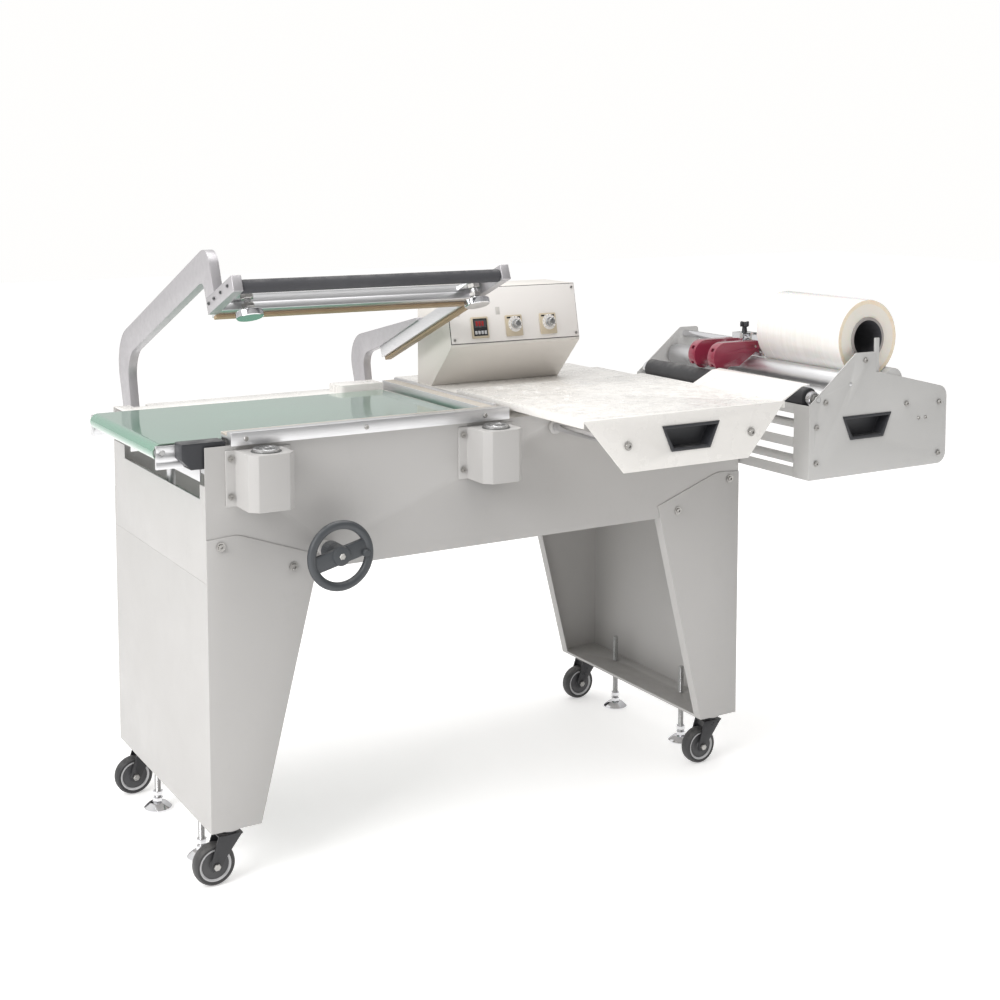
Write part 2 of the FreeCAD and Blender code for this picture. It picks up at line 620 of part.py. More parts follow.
def handwheel():
    rim = document.addObject("Part::Torus", "Rim")
    rim.Placement = FreeCAD.Placement(FreeCAD.Vector(), FreeCAD.Rotation(*TURNS["Y"]))
    put(rim, ("wheel_across", "wheel_out", "wheel_up"))
    rim.setExpression("Radius1", sized("rim_outer - rim_tube"))
    rim.setExpression("Radius2", sized("rim_tube"))
    spoke_start = ("wheel_across - rim_outer + rim_tube", "wheel_out - spoke_thick / 2", "wheel_up - spoke_width / 2")
    spoke = block(spoke_start, "2 * (rim_outer - rim_tube)", "spoke_thick", "spoke_width")
    hub = cylinder("Y", ("wheel_across", "wheel_out - 8", "wheel_up"), "hub_radius", "hub_back - wheel_out + 8")
    spindle = cylinder("Y", ("wheel_across", "hub_back - 1", "wheel_up"), "spindle_radius", "40 - hub_back")
    knob = cylinder("Y", ("wheel_across + rim_outer - 2 * rim_tube", "wheel_out - 10", "wheel_up"), "7", "10")
    group("handwheel", [fuse(rim, spoke, hub, spindle, knob)])


def bearing_bushes():
    """Turned bushes and bored blocks, fixed to the stand, that the moving parts run in."""
    bushes = []
    for across in ("rod_left", "rod_right"):
        bushes.append(minus(cylinder("Y", (across, "-4", "rod_up"), "rod_radius + 7", "6"),
                            cylinder("Y", (across, "-5", "rod_up"), "rod_radius + running_gap", "8")))
        hanger = block((across + " - 12", "rod_hanger", "rod_up - 13"), "24", "20",
                       "deck_height - skin - rod_up + 13")
        bushes.append(minus(hanger, cylinder("Y", (across, "rod_hanger", "rod_up"),
                                             "rod_radius + running_gap", "20")))
    bushes.append(minus(cylinder("Y", ("wheel_across", "-10", "wheel_up"), "spindle_radius + 6", "12"),
                        cylinder("Y", ("wheel_across", "-11", "wheel_up"), "spindle_radius + running_gap", "14")))
    for across in ("caster_inset", "stand_width - caster_inset"):
        for along in ("caster_front", "caster_back"):
            low = "leg_bottom - race_thick"
            bushes.append(minus(cylinder("Z", (across, along, low), "race_radius", "race_thick"),
                                cylinder("Z", (across, along, low), "king_pin + running_gap", "race_thick")))
    for step in ("0", "1"):
        for up in ("guide_low", "guide_high"):
            front = "guide_front + %s * guide_pitch" % step
            body = block(("stand_width", front, up + " - guide_wall"), "guide_across + 20 - stand_width",
                         "guide_block", "2 * guide_wall")
            bore = cylinder("Y", ("guide_across", front, up), "guide_radius + running_gap", "guide_block")
            bushes.append(minus(body, bore))
    group("bearing_bushes", bushes)


def stand_brackets():
    """The pivot ears behind the stand, and the beams inside it that guide the conveyor's posts."""
    body = new_body("stand_brackets")
    base = "stand_depth - skin"
    for start in ("arm_left_in + 8", "arm_right_side - 16"):
        pad(body, "YZ", start, start + " + 8",
            [(base, "pivot_up - 32"), ("pivot_back + 6", "pivot_up - 18"), ("pivot_back + 18", "pivot_up - 4"),
             ("pivot_back + 18", "pivot_up + 4"), ("pivot_back + 6", "pivot_up + 18"), (base, "pivot_up + 32")])
        cut(body, "YZ", start, start + " + 8", ("pivot_back", "pivot_up", "pivot_radius + running_gap"))
    for across in lift_channels:
        centre = across + " + channel_width / 2"
        pad(body, "XY", "beam_low", "beam_low + beam_height",
            box(centre + " - beam_width / 2", centre + " + beam_width / 2", "inner_front", "inner_back"),
            (centre, "lift_back", "lift_radius + running_gap"))


# ---- sealing head: drawn closed about its pivot, and placed raised ----

def head_body(label):
    body = new_body(label)
    raise_head(body)
    return body


def raise_head(part):
    tilt = FreeCAD.Rotation(FreeCAD.Vector(-1, 0, 0), value("head_open"))
    part.Placement = FreeCAD.Placement(FreeCAD.Vector(), tilt)
    place_node(part, ("0", "pivot_back", "pivot_up"))
    part.setExpression("Placement.Rotation.Angle", sized("head_open"))


def arms():
    left = head_body("arm_left")
    start, end = "arm_left_side", "arm_left_in"
    toe_back = "nose_reach + toe_depth"
    pad(left, "YZ", start, end,
        [("nose_reach", "arm_toe"), ("nose_reach", "arm_crown"), ("heel_reach", "arm_crown"),
         ("pivot_boss", "0"), ("-pivot_boss", "0"), ("arm_throat", "arm_under"), (toe_back, "arm_under"),
         (toe_back, "arm_toe")])
    shape_corners(left, "YZ", [("nose_reach", "arm_crown")], "34")
    shape_corners(left, "YZ", [("heel_reach", "arm_crown")], "80")
    shape_corners(left, "YZ", [("arm_throat", "arm_under")], "60")
    shape_corners(left, "YZ", [(toe_back, "arm_under")], "18")
    right = head_body("arm_right")
    start, end = "arm_right_side", "arm_right_side + arm_thick"
    pad(right, "YZ", start, end,
        [("tongue_front", "side_bar_top"), ("tongue_front", "tongue_front_top"),
         ("tongue_heel", "tongue_back_top"), ("pivot_boss", "0"), ("-pivot_boss", "0"),
         ("-2 * pivot_boss", "side_bar_top + 8"), ("side_bar_back", "side_bar_top")])
    shape_corners(right, "YZ", [("tongue_heel", "tongue_back_top")], "60")
    shape_corners(right, "YZ", [("-2 * pivot_boss", "side_bar_top + 8")], "30")
    for body, start in ((left, "arm_left_side"), (right, "arm_right_side")):
        end = start + " + arm_thick"
        pad(body, "YZ", start, end, ("0", "0", "pivot_boss"))
        cut(body, "YZ", start, end, ("0", "0", "pivot_radius"))
    shaft = cylinder("X", ("arm_left_side - 8", "0", "0"), "pivot_radius",
                     "arm_right_side + arm_thick + 16 - arm_left_side")
    raise_head(group("pivot_shaft", [shaft]))


def sealing_bars():
    bar = head_body("sealing_bar_long")
    upper_front = "bar_front + bar_setback"
    pad(bar, "YZ", "arm_left_in", "side_bar_left",
        [("bar_front", "bar_bottom"), ("bar_back", "bar_bottom"), ("bar_back", "bar_top"),
         (upper_front, "bar_top"), (upper_front, "bar_step"), ("bar_front", "bar_step")])
    cut(bar, "YZ", "arm_left_in", "side_bar_left",
        box(upper_front + " + 5", "bar_back - 5", "bar_step + 3", "bar_top - 4"))
    for across in ("magnet_left", "magnet_right - 2"):
        pad(bar, "XY", "lug_up", "lug_up + lug_thick",
            box(across + " - lug_width / 2", across + " + lug_width / 2 - 2", "lug_reach", upper_front + " + 1"))
    side = head_body("sealing_bar_side")
    right = "side_bar_left + side_bar_width"
    bar_end = "nose_reach + toe_depth"
    pad(side, "XZ", bar_end, "side_bar_back",
        [("side_bar_left", "bar_bottom"), (right, "bar_bottom"), (right, "side_bar_top"),
         ("side_bar_left", "side_bar_top")])
    cut(side, "XZ", bar_end, "side_bar_back",
        box("side_bar_left + 5", right + " - 5", "bar_bottom + 6", "side_bar_top - 4"))
    blade_front = "bar_front + strip_inset"
    blade_side = "side_bar_left + 7"
    strips = [block(("arm_left_in", blade_front, "strip_bottom"), right + " - arm_left_in", "strip_width",
                    "bar_bottom - strip_bottom"),
              block((blade_side, blade_front + " + strip_width", "strip_bottom"), "strip_width",
                    "side_bar_back - (%s) - strip_width" % blade_front, "bar_bottom - strip_bottom")]
    raise_head(group("sealing_strips", strips))


def grip_parts():
    brackets = []
    for start in ("arm_left_side", "side_bar_left"):
        bracket = block((start, "bracket_reach", "bracket_bottom"), "arm_thick",
                        "nose_reach + toe_depth - bracket_reach", "arm_toe - bracket_bottom")
        outer = start + (" - 1.5" if start == "arm_left_side" else " + arm_thick")
        screws = [cylinder("X", (outer, "bracket_reach + " + along, "grip_up + 5"), "3.5", "1.5")
                  for along in ("22", "58", "92", "120")]
        brackets.append(bracket)
        brackets.extend(screws)
    raise_head(group("grip_brackets", brackets))
    grip = cylinder("X", ("arm_left_in", "grip_reach", "grip_up"), "grip_radius", "grip_length")
    raise_head(group("grip_tube", [grip]))
    reach = "magnet_reach - pivot_back"
    discs = []
    for across in ("magnet_left", "magnet_right - 2"):
        disc = cylinder("Z", (across, reach, "armature_bottom"), "armature_radius", "armature_thick")
        stud = cylinder("Z", (across, reach, "armature_bottom + armature_thick - 1"), "armature_stud",
                        "lug_up - armature_bottom - armature_thick + 1")
        discs.append(fuse(disc, stud))
    raise_head(group("armatures", discs))


# ---- film tray ----

def pull_outline(left, up, grow):
    shoulder = "(pull_top_width - pull_bottom_width) / 2"
    return [("%s - %s" % (left, grow), "%s + pull_height + %s" % (up, grow)),
            ("%s + %s - %s" % (left, shoulder, grow), "%s - %s" % (up, grow)),
            ("%s + %s + pull_bottom_width + %s" % (left, shoulder, grow), "%s - %s" % (up, grow)),
            ("%s + pull_top_width + %s" % (left, grow), "%s + pull_height + %s" % (up, grow))]


def pull(label, left, up, face):
    """A recessed finger pull with a thin rim on the face it is set into."""
    body = new_body(label)
    pad(body, "XZ", face + " - skin", face, pull_outline(left, up, "3"))
    pad(body, "XZ", face, face + " + 26", pull_outline(left, up, "0"))
    cut(body, "XZ", face + " - skin", face + " + 24", pull_outline(left, up, "-3"))


def tray():
    body = new_body("film_tray")
    pad(body, "XY", "tray_under", "tray_top", box("tray_left", "tray_right", "tray_front", "tray_back"))
    for left, right in (("tray_left", "tray_left + skin"), ("tray_right - skin", "tray_right")):
        pad(body, "XY", "tray_top - tray_lip", "tray_top", box(left, right, "tray_front", "tray_back"))
    pad(body, "XZ", "tray_front", "tray_front + skin",
        [("tray_left", "tray_top"), ("tray_left + flap_inset", "flap_bottom"),
         ("tray_right - flap_inset", "flap_bottom"), ("tray_right", "tray_top")])
    cut(body, "XZ", "tray_front", "tray_front + skin", pull_outline("pull_left", "pull_up", "0"))
    pad(body, "XZ", "tray_front + 6", "ramp_back",
        [("tray_right - skin", "tray_under"), ("tray_right - skin", "tray_top"), ("ramp_fold", "ramp_up"),
         ("ramp_right", "ramp_up + skin"), ("ramp_right", "ramp_up"), ("ramp_fold", "ramp_up - skin"),
         ("tray_right", "tray_under")])
    pull("tray_pull", "pull_left", "pull_up", "tray_front")
    rods = []
    for across in ("rod_left", "rod_right"):
        rods.append(cylinder("Y", (across, "tray_front + skin", "rod_up"), "rod_radius",
                             "rod_back - tray_front - skin"))
        rods.append(cylinder("Y", (across, "tray_front - 5", "rod_up"), "8", "5"))
    group("tray_rods", rods)
    sheet_place = ("tray_left + film_inset", "tray_front + film_inset", "tray_top")
    group("film_sheet", [block(sheet_place, "tray_right - tray_left - 2 * film_inset",
                               "tray_back - tray_front - 2 * film_inset", "film_thick")])


# ---- control box ----

def control_box():
    body = new_body("control_box")
    right = "box_left + box_length"
    top = "panel_foot_up + panel_rise"
    pad(body, "YZ", "box_left", right,
        [("box_base_front", "table_top"), ("panel_foot", "panel_foot_up"),
         ("panel_foot + panel_lean", top), ("box_back", top), ("box_back", "table_top")])
    shape_corners(body, "YZ", [("box_back", top)], "10")
    shape_corners(body, "YZ", [("panel_foot", "panel_foot_up")], "8")
    cut(body, "YZ", "box_left + skin", right + " - skin",
        [("box_base_front + 5", "table_top"), ("panel_foot + 6", "panel_foot_up + 1"),
         ("panel_foot + panel_lean + 3", top + " - 3"), ("box_back - 3", top + " - 12"),
         ("box_back - 3", "table_top")])
    panel = panel_body("control_panel")
    width = "box_length"
    low, high = "5", "panel_height - 1"
    pad(panel, "XY", "0", "panel_thick", box("1", width + " - 1", low, high))
    shape_corners(panel, "XY", [("1", low), (width + " - 1", low), ("1", high), (width + " - 1", high)], "6")
    instruments = new_body("panel_instruments")
    lean_on_panel(instruments)
    for left in ("controller_in", "timer_in", "timer_in + timer_pitch"):
        pad(instruments, "XY", "panel_thick", "panel_thick + bezel_thick",
            box(left, left + " + instrument_width", "instrument_up", "instrument_up + instrument_height"))
    cut(instruments, "XY", "panel_thick + 1.5", "panel_thick + bezel_thick",
        box("controller_in + 5", "controller_in + instrument_width - 5", "instrument_up + 6",
            "instrument_up + instrument_height - 8"))
    for number, label in enumerate(("timer_knob_left", "timer_knob_right")):
        knob = panel_body(label)
        across = "timer_in + %d * timer_pitch + instrument_width / 2 + 2" % number
        low = "panel_thick + bezel_thick + running_gap"
        pad(knob, "XY", low, low + " + 3", (across, "dial_up", "dial_radius"))
        pad(knob, "XY", low + " + 3", low + " + dial_height", (across, "dial_up", "dial_radius - 3"))


def lean_on_panel(body):
    tilt = FreeCAD.Rotation(FreeCAD.Vector(1, 0, 0), value("panel_tilt"))
    body.Placement = FreeCAD.Placement(FreeCAD.Vector(), tilt)
    place_node(body, ("box_left", "panel_foot", "panel_foot_up"))
    body.setExpression("Placement.Rotation.Angle", sized("panel_tilt"))


def panel_body(label):
    body = new_body(label)
    lean_on_panel(body)
    return body


# ---- film unwinder ----

def unwinder_side(label, face, flange_front):
    body = new_body(label)
    back = face + " + side_thick"
    root = "tooth_right + 5"
    pad(body, "XZ", face, back,
        [("side_left", "side_bottom"), ("side_left", "shoulder"), ("tooth_left", "tooth_top"),
         ("tooth_right", "tooth_top"), (root, "tooth_root"), (root + " + 9", "tooth_root"),
         ("side_right", "side_end"), ("side_right", "side_bottom")])
    shape_corners(body, "XZ", [("side_right", "side_end"), ("side_right", "side_bottom")], "24")
    shape_corners(body, "XZ", [("tooth_left", "tooth_top"), ("tooth_right", "tooth_top")], "7")
    pad(body, "XY", "side_bottom", "shoulder - 2",
        box("side_left", "side_left + skin", flange_front, flange_front + " + side_flange"))
    cut(body, "XZ", face, back, ("nip_across", "nip_up", "nip_pin + running_gap"),
        ("roll_across - cradle_spread", "cradle_up", "cradle_pin + running_gap"))
    return body


def unwinder():
    front = unwinder_side("unwinder_side_front", "side_front", "plate_front")
    cut(front, "XZ", "side_front", "plate_front", pull_outline("side_pull_left", "side_pull_up", "0"))
    unwinder_side("unwinder_side_back", "plate_back", "plate_back - side_flange")
    pull("unwinder_pull", "side_pull_left", "side_pull_up", "side_front")
    inner = "plate_back - plate_front"
    bars = []
    for up in ("side_bottom", "side_bottom + slat_middle", "shoulder - 2 - slat_height"):
        bars.append(block(("side_left + skin", "plate_front", up), "3", inner, "slat_height"))
    for across, name in (("guide_across", "guide"), ("tie_across", "tie")):
        for up in (name + "_low", name + "_high"):
            bars.append(cylinder("Y", (across, "plate_front", up), name + "_radius", inner))
    fixed = ("roll_across + cradle_spread", "plate_front", "cradle_up")
    bars.append(cylinder("Y", fixed, "cradle_radius - cradle_gap", inner))
    finger = ("tooth_right + finger_in", "plate_front", "tooth_root - 4")
    bars.append(block(finger, "finger_width", "4", "finger_top - tooth_root + 4"))
    heads = [("guide_across", "guide_high"), ("guide_across", "guide_low"), ("tie_across", "tie_high"),
             ("tie_across", "tie_low"), ("tooth_right - 27", "tooth_top - 16"),
             ("side_left + 41", "shoulder + 3"), ("side_right - 117", "shoulder - 16"),
             ("side_right - 81", "shoulder - 49"), ("side_right - 61", "shoulder - 49")]
    for across, up in heads:
        bars.append(screw_head("Y", (across, "side_front - 3", up), "5.5", "3"))
    group("unwinder_bars", bars)

    length = "roll_back - roll_front"
    roll_place = ("roll_across", "roll_front", "roll_up")
    group("film_roll", [minus(cylinder("Y", roll_place, "roll_radius", length),
                              cylinder("Y", roll_place, "core_outer", length))])
    core_place = ("roll_across", "roll_front - 2", "roll_up")
    group("film_core", [minus(cylinder("Y", core_place, "core_outer", length + " + 4"),
                              cylinder("Y", core_place, "core_inner", length + " + 4"))])

    nip = ("nip_across", "plate_front + 18", "nip_up")
    sleeve_length = inner + " - 36"
    sleeve = minus(cylinder("Y", nip, "nip_radius", sleeve_length), cylinder("Y", nip, "nip_pin + 4", sleeve_length))
    spindle = fuse(cylinder("Y", ("nip_across", "side_front", "nip_up"), "nip_pin", "side_back - side_front"),
                   cylinder("Y", ("nip_across", "plate_front + 10", "nip_up"), "nip_pin + 4", inner + " - 20"),
                   cylinder("Y", ("nip_across", "plate_front + 4", "nip_up"), "nip_pin + 9", "14"),
                   cylinder("Y", ("nip_across", "plate_back - 18", "nip_up"), "nip_pin + 9", "14"))
    group("rubber_roller", [sleeve, spindle])

    cradle = ("roll_across - cradle_spread", "plate_front + 4", "cradle_up")
    pin = ("roll_across - cradle_spread", "side_front", "cradle_up")
    group("cradle_roller", [fuse(cylinder("Y", cradle, "cradle_radius - cradle_gap", inner + " - 8"),
                                 cylinder("Y", pin, "cradle_pin", "side_back - side_front"))])


def punch_units():
    """Two needle-wheel punches that clamp on a rod behind the film roll."""
    rod = cylinder("Y", ("punch_across", "punch_front", "punch_up"), "punch_rod", "punch_length")
    pieces = [rod]
    for number in (0, 1):
        front = "punch_front + 6 + %d * punch_pitch" % number
        middle = front + " + clamp_length / 2"
        hold_block = block(("punch_across - clamp_half", front, "punch_up - clamp_rise"), "2 * clamp_half",
                           "clamp_length", "2 * clamp_rise")
        bore = cylinder("Y", ("punch_across", front, "punch_up"), "punch_rod", "clamp_length")
        tongue = block(("punch_pivot - 6", middle + " - 4", "punch_up - 8"),
                       "punch_across - clamp_half - punch_pivot + 7", "8", "16")
        pin = cylinder("Y", ("punch_pivot", middle + " - arm_width / 2", "punch_up"), "3", "arm_width")
        pieces.append(fuse(minus(hold_block, bore), tongue, pin))
        top = "punch_up + clamp_rise"
        pieces.append(fuse(cylinder("Z", ("punch_across", middle, top), "5", "14"),
                           cylinder("Z", ("punch_across", middle, top + " + 12"), "12", "12")))
        punch_arm("punch_arm_front" if number == 0 else "punch_arm_back", middle)
    group("punch_carrier", pieces)


def punch_arm(label, middle):
    start, end = middle + " - arm_width / 2", middle + " + arm_width / 2"
    nose, up = "punch_nose", "punch_nose_up"
    under = up + " - 20"
    body = document.addObject("PartDesign::Body", label + "_cover")
    body.AllowCompound = True
    pad(body, "XZ", start, end, (nose, up, "punch_nose_radius"))
    pad(body, "XZ", start, end, [(nose, up + " + punch_nose_radius"), ("punch_pivot", "punch_up + 12"),
                                 ("punch_pivot", "punch_up - 12"), ("punch_pivot - 45", under), (nose, under)])
    pad(body, "XZ", start, end, ("punch_pivot", "punch_up", "12"))
    cut(body, "XZ", start, end, box(nose + " - 40", nose + " + 40", under + " - 20", under))
    cut(body, "XZ", middle + " - 4.3", middle + " + 4.3",
        box("punch_pivot - 20", "punch_pivot + 14", "punch_up - 20", "punch_up + 20"))
    cut(body, "XZ", middle + " - 4.3", middle + " + 4.3",
        box(nose + " - 29", nose + " + 27", under, up + " + 20"))
    cut(body, "XZ", start, end, ("punch_pivot", "punch_up", "3 + running_gap"))
    needle = cylinder("Y", (nose, middle + " - 2", "needle_up"), "needle_radius", "4")
    axle = cylinder("Y", (nose, middle + " - 4.3", "needle_up"), "4", "8.6")
    group(label, [body, fuse(needle, axle)])


# ---- casters and levelling feet ----

def caster(place, across, along):
    fork = new_body("caster_fork_" + place, (across, along, "0"))
    neck = "leg_bottom - race_thick"
    plate = neck + " - 7"
    for side in ("fork_gap", "-fork_gap - fork_plate"):
        pad(fork, "XZ", side, side + " + fork_plate",
            [("20", plate), ("-24", plate), ("-caster_trail - 11", "wheel_radius + 4"),
             ("-caster_trail - 8", "wheel_radius - 9"), ("-caster_trail + 8", "wheel_radius - 9"),
             ("-caster_trail + 16", "wheel_radius + 10")])
    half = "fork_gap + fork_plate"
    pad(fork, "XY", plate + " - 3", plate, box("-24", "20", "-(%s)" % half, half))
    pad(fork, "XY", plate, neck, ("0", "0", "14"))
    pad(fork, "XY", neck, "leg_bottom - 0.5", ("0", "0", "king_pin"))
    pad(fork, "XZ", "-(%s) - 3" % half, half + " + 3", ("-caster_trail", "wheel_radius", "axle_radius"))
    wheel = new_body("caster_wheel_" + place, ("%s - caster_trail" % across, along, "wheel_radius"))
    wheel.Placement.Rotation = FreeCAD.Rotation(*TURNS["Y"])
    half_width = "wheel_width / 2"
    bore = "axle_radius + running_gap"
    turn(wheel, [(bore, "-(%s) - 1" % half_width), ("wheel_hub", "-(%s) + 2" % half_width),
                 ("wheel_radius - 7", "-(%s) + 1" % half_width), ("wheel_radius", "-(%s) + 6" % half_width),
                 ("wheel_radius", "%s - 6" % half_width), ("wheel_radius - 7", "%s - 1" % half_width),
                 ("wheel_hub", "%s - 2" % half_width), (bore, "%s + 1" % half_width)])


def levelling_foot(place, across, along):
    foot = new_body("levelling_foot_" + place, (across, along, "0"))
    turn(foot, [("0", "0"), ("pad_radius", "0"), ("pad_radius", "4"), ("pad_radius - 12", "pad_height"),
                ("stud_radius", "pad_height"), ("stud_radius", "stud_top"), ("0", "stud_top")])
    for low in ("pad_height", "pad_height + nut_height + 4"):
        pad(foot, "XY", low, low + " + nut_height", nut_outline())


def nut_outline():
    half = "nut_radius / 2"
    tall = "0.866 * nut_radius"
    return [("nut_radius", "0"), (half, tall), ("-" + half, tall), ("-nut_radius", "0"),
            ("-" + half, "-" + tall), (half, "-" + tall)]


# ---- the whole machine ----

leg("leg_left", "left")
leg("leg_right", "right")
stand_sheets()
deck()
frame_bolts()
magnet_boxes = new_body("magnet_boxes")
magnet_box(magnet_boxes, "magnet_left")
magnet_box(magnet_boxes, "magnet_right")
electromagnets()
jaws()
conveyor()
handwheel()
bearing_bushes()
stand_brackets()
arms()
sealing_bars()
grip_parts()
tray()
control_box()
unwinder()
punch_units()
for side, inset in (("left", "%s"), ("right", "stand_width - %s")):
    for end in ("front", "back"):
        caster("%s_%s" % (side, end), inset % "caster_inset", "caster_" + end)
        levelling_foot("%s_%s" % (side, end), inset % "foot_inset", "foot_" + end)
document.recompute()

failed = [o.Label for o in document.Objects if "Invalid" in o.State or "Error" in o.State]
if failed:
    raise RuntimeError("these objects failed: " + ", ".join(failed))
for node in nodes:
    if node.Shape.isNull() or not node.Shape.isValid() or not node.Shape.Solids:
        raise RuntimeError("no valid solid in " + node.Label)

os.makedirs("parts", exist_ok=True)
for node in nodes:
    node.Shape.exportStep("parts/%s.step" % node.Label)
print(len(nodes), "nodes")
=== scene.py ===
import json
import math
import bpy
import bmesh
from mathutils import Matrix, Vector, noise


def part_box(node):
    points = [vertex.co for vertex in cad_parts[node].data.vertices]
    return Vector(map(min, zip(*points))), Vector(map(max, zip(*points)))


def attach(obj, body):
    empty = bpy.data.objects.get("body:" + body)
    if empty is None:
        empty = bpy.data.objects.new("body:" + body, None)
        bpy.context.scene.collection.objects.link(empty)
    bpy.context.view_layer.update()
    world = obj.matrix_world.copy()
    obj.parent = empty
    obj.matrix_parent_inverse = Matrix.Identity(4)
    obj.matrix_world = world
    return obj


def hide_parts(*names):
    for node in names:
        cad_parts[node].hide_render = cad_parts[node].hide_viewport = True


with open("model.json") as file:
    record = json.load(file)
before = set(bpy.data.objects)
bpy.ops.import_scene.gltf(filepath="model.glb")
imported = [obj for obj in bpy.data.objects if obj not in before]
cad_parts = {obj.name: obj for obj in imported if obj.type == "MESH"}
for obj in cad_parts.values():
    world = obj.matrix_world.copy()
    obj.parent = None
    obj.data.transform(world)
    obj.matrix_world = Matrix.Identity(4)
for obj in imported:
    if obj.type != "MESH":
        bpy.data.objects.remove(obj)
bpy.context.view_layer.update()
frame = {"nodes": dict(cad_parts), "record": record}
scene = bpy.context.scene
mm = 0.001
bodyOf = {name: body for body, names in frame["record"]["behaviour"]["bodies"].items() for name in names}
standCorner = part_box("leg_left")[0]
print("frame loaded,", len(frame["nodes"]), "nodes")


def link(output, entry):  # joins two sockets of one node tree
    output.id_data.links.new(output, entry)


def wire(source, output, target, entry):  # the same, by node and socket name
    link(source.outputs[output], target.inputs[entry])


def at(across, along, up):  # millimetres from the stand's front left corner, on the floor
    return Vector((standCorner.x + across * mm, standCorner.y + along * mm, up * mm))


# shared surface effects

def startGroup(name, inputs, outputs):
    tree = bpy.data.node_groups.new(name, "ShaderNodeTree")
    for label, kind, value in inputs:
        socket = tree.interface.new_socket(label, in_out="INPUT", socket_type="NodeSocket" + kind)
        socket.default_value = value
    for label, kind in outputs:
        tree.interface.new_socket(label, in_out="OUTPUT", socket_type="NodeSocket" + kind)
    return tree, tree.nodes.new("NodeGroupInput"), tree.nodes.new("NodeGroupOutput")


def addNode(tree, kind, **settings):
    node = tree.nodes.new("ShaderNode" + kind)
    for key, value in settings.items():
        setattr(node, key, value)
    return node


def feed(socket, value):
    if isinstance(value, (int, float)):
        socket.default_value = value
    else:
        link(value, socket)


def addNoise(tree, vector, scale, detail=3.0, rough=0.5):
    spots = addNode(tree, "TexNoise")
    spots.inputs["Detail"].default_value = detail
    spots.inputs["Roughness"].default_value = rough
    link(vector, spots.inputs["Vector"])
    feed(spots.inputs["Scale"], scale)
    return spots.outputs["Fac"]


def remap(tree, value, low, high, toLow, toHigh):
    step = addNode(tree, "MapRange")
    for socket, number in zip(("From Min", "From Max", "To Min", "To Max"), (low, high, toLow, toHigh)):
        feed(step.inputs[socket], number)
    link(value, step.inputs["Value"])
    return step.outputs["Result"]


def mixColour(tree, factor, first, second):
    mix = addNode(tree, "Mix", data_type="RGBA")
    for socket, value in ((0, factor), (6, first), (7, second)):
        link(value, mix.inputs[socket])
    return mix.outputs[2]


def calculate(tree, operation, first, second):
    step = addNode(tree, "Math", operation=operation)
    feed(step.inputs[0], first)
    feed(step.inputs[1], second)
    return step.outputs["Value"]


def makeSkinGroup():  # sprayed or moulded surface: slow shade drift, fine speckle, orange peel
    tree, given, result = startGroup("surfaceSkin", [
        ("Base", "Color", (0.8, 0.8, 0.8, 1)), ("Shade", "Color", (0.7, 0.7, 0.7, 1)), ("Drift", "Float", 0.5),
        ("Grain Scale", "Float", 900.0), ("Smooth", "Float", 0.3), ("Rough", "Float", 0.45)],
        [("Color", "Color"), ("Roughness", "Float"), ("Height", "Float")])
    place = addNode(tree, "TexCoord").outputs["Object"]
    drift = addNoise(tree, place, 3.2, 4.0, 0.55)
    fine = addNoise(tree, place, given.outputs["Grain Scale"], 2.0, 0.6)
    mask = calculate(tree, "MULTIPLY", remap(tree, drift, 0.3, 0.72, 0.0, 1.0), given.outputs["Drift"])
    speck = calculate(tree, "MULTIPLY", remap(tree, fine, 0.45, 0.75, 0.0, 0.5), given.outputs["Drift"])
    both = calculate(tree, "MAXIMUM", mask, speck)
    link(mixColour(tree, both, given.outputs["Base"], given.outputs["Shade"]), result.inputs["Color"])
    smudge = addNoise(tree, place, 14.0, 5.0, 0.65)
    gloss = remap(tree, smudge, 0.3, 0.7, given.outputs["Smooth"], given.outputs["Rough"])
    link(gloss, result.inputs["Roughness"])
    link(fine, result.inputs["Height"])
    return tree


def makeStreakGroup():  # drawn or ground metal: long streaks along the direction with the small stretch
    tree, given, result = startGroup("metalStreaks", [
        ("Base", "Color", (0.7, 0.7, 0.7, 1)), ("Shade", "Color", (0.5, 0.5, 0.5, 1)),
        ("Stretch", "Vector", (40.0, 900.0, 900.0)), ("Depth", "Float", 0.5), ("Smooth", "Float", 0.2),
        ("Rough", "Float", 0.4)], [("Color", "Color"), ("Roughness", "Float"), ("Height", "Float")])
    place = addNode(tree, "TexCoord").outputs["Object"]
    stretch = addNode(tree, "VectorMath", operation="MULTIPLY")
    link(place, stretch.inputs[0])
    link(given.outputs["Stretch"], stretch.inputs[1])
    streak = addNoise(tree, stretch.outputs["Vector"], 1.0, 4.0, 0.6)
    cloud = addNoise(tree, place, 6.0, 3.0, 0.5)
    lines = calculate(tree, "MULTIPLY", remap(tree, streak, 0.35, 0.7, 0.0, 1.0), given.outputs["Depth"])
    patches = calculate(tree, "MULTIPLY", remap(tree, cloud, 0.4, 0.7, 0.0, 0.35), given.outputs["Depth"])
    both = calculate(tree, "ADD", lines, patches)
    link(mixColour(tree, both, given.outputs["Base"], given.outputs["Shade"]), result.inputs["Color"])
    gloss = remap(tree, streak, 0.3, 0.75, given.outputs["Smooth"], given.outputs["Rough"])
    link(gloss, result.inputs["Roughness"])
    link(streak, result.inputs["Height"])
    return tree


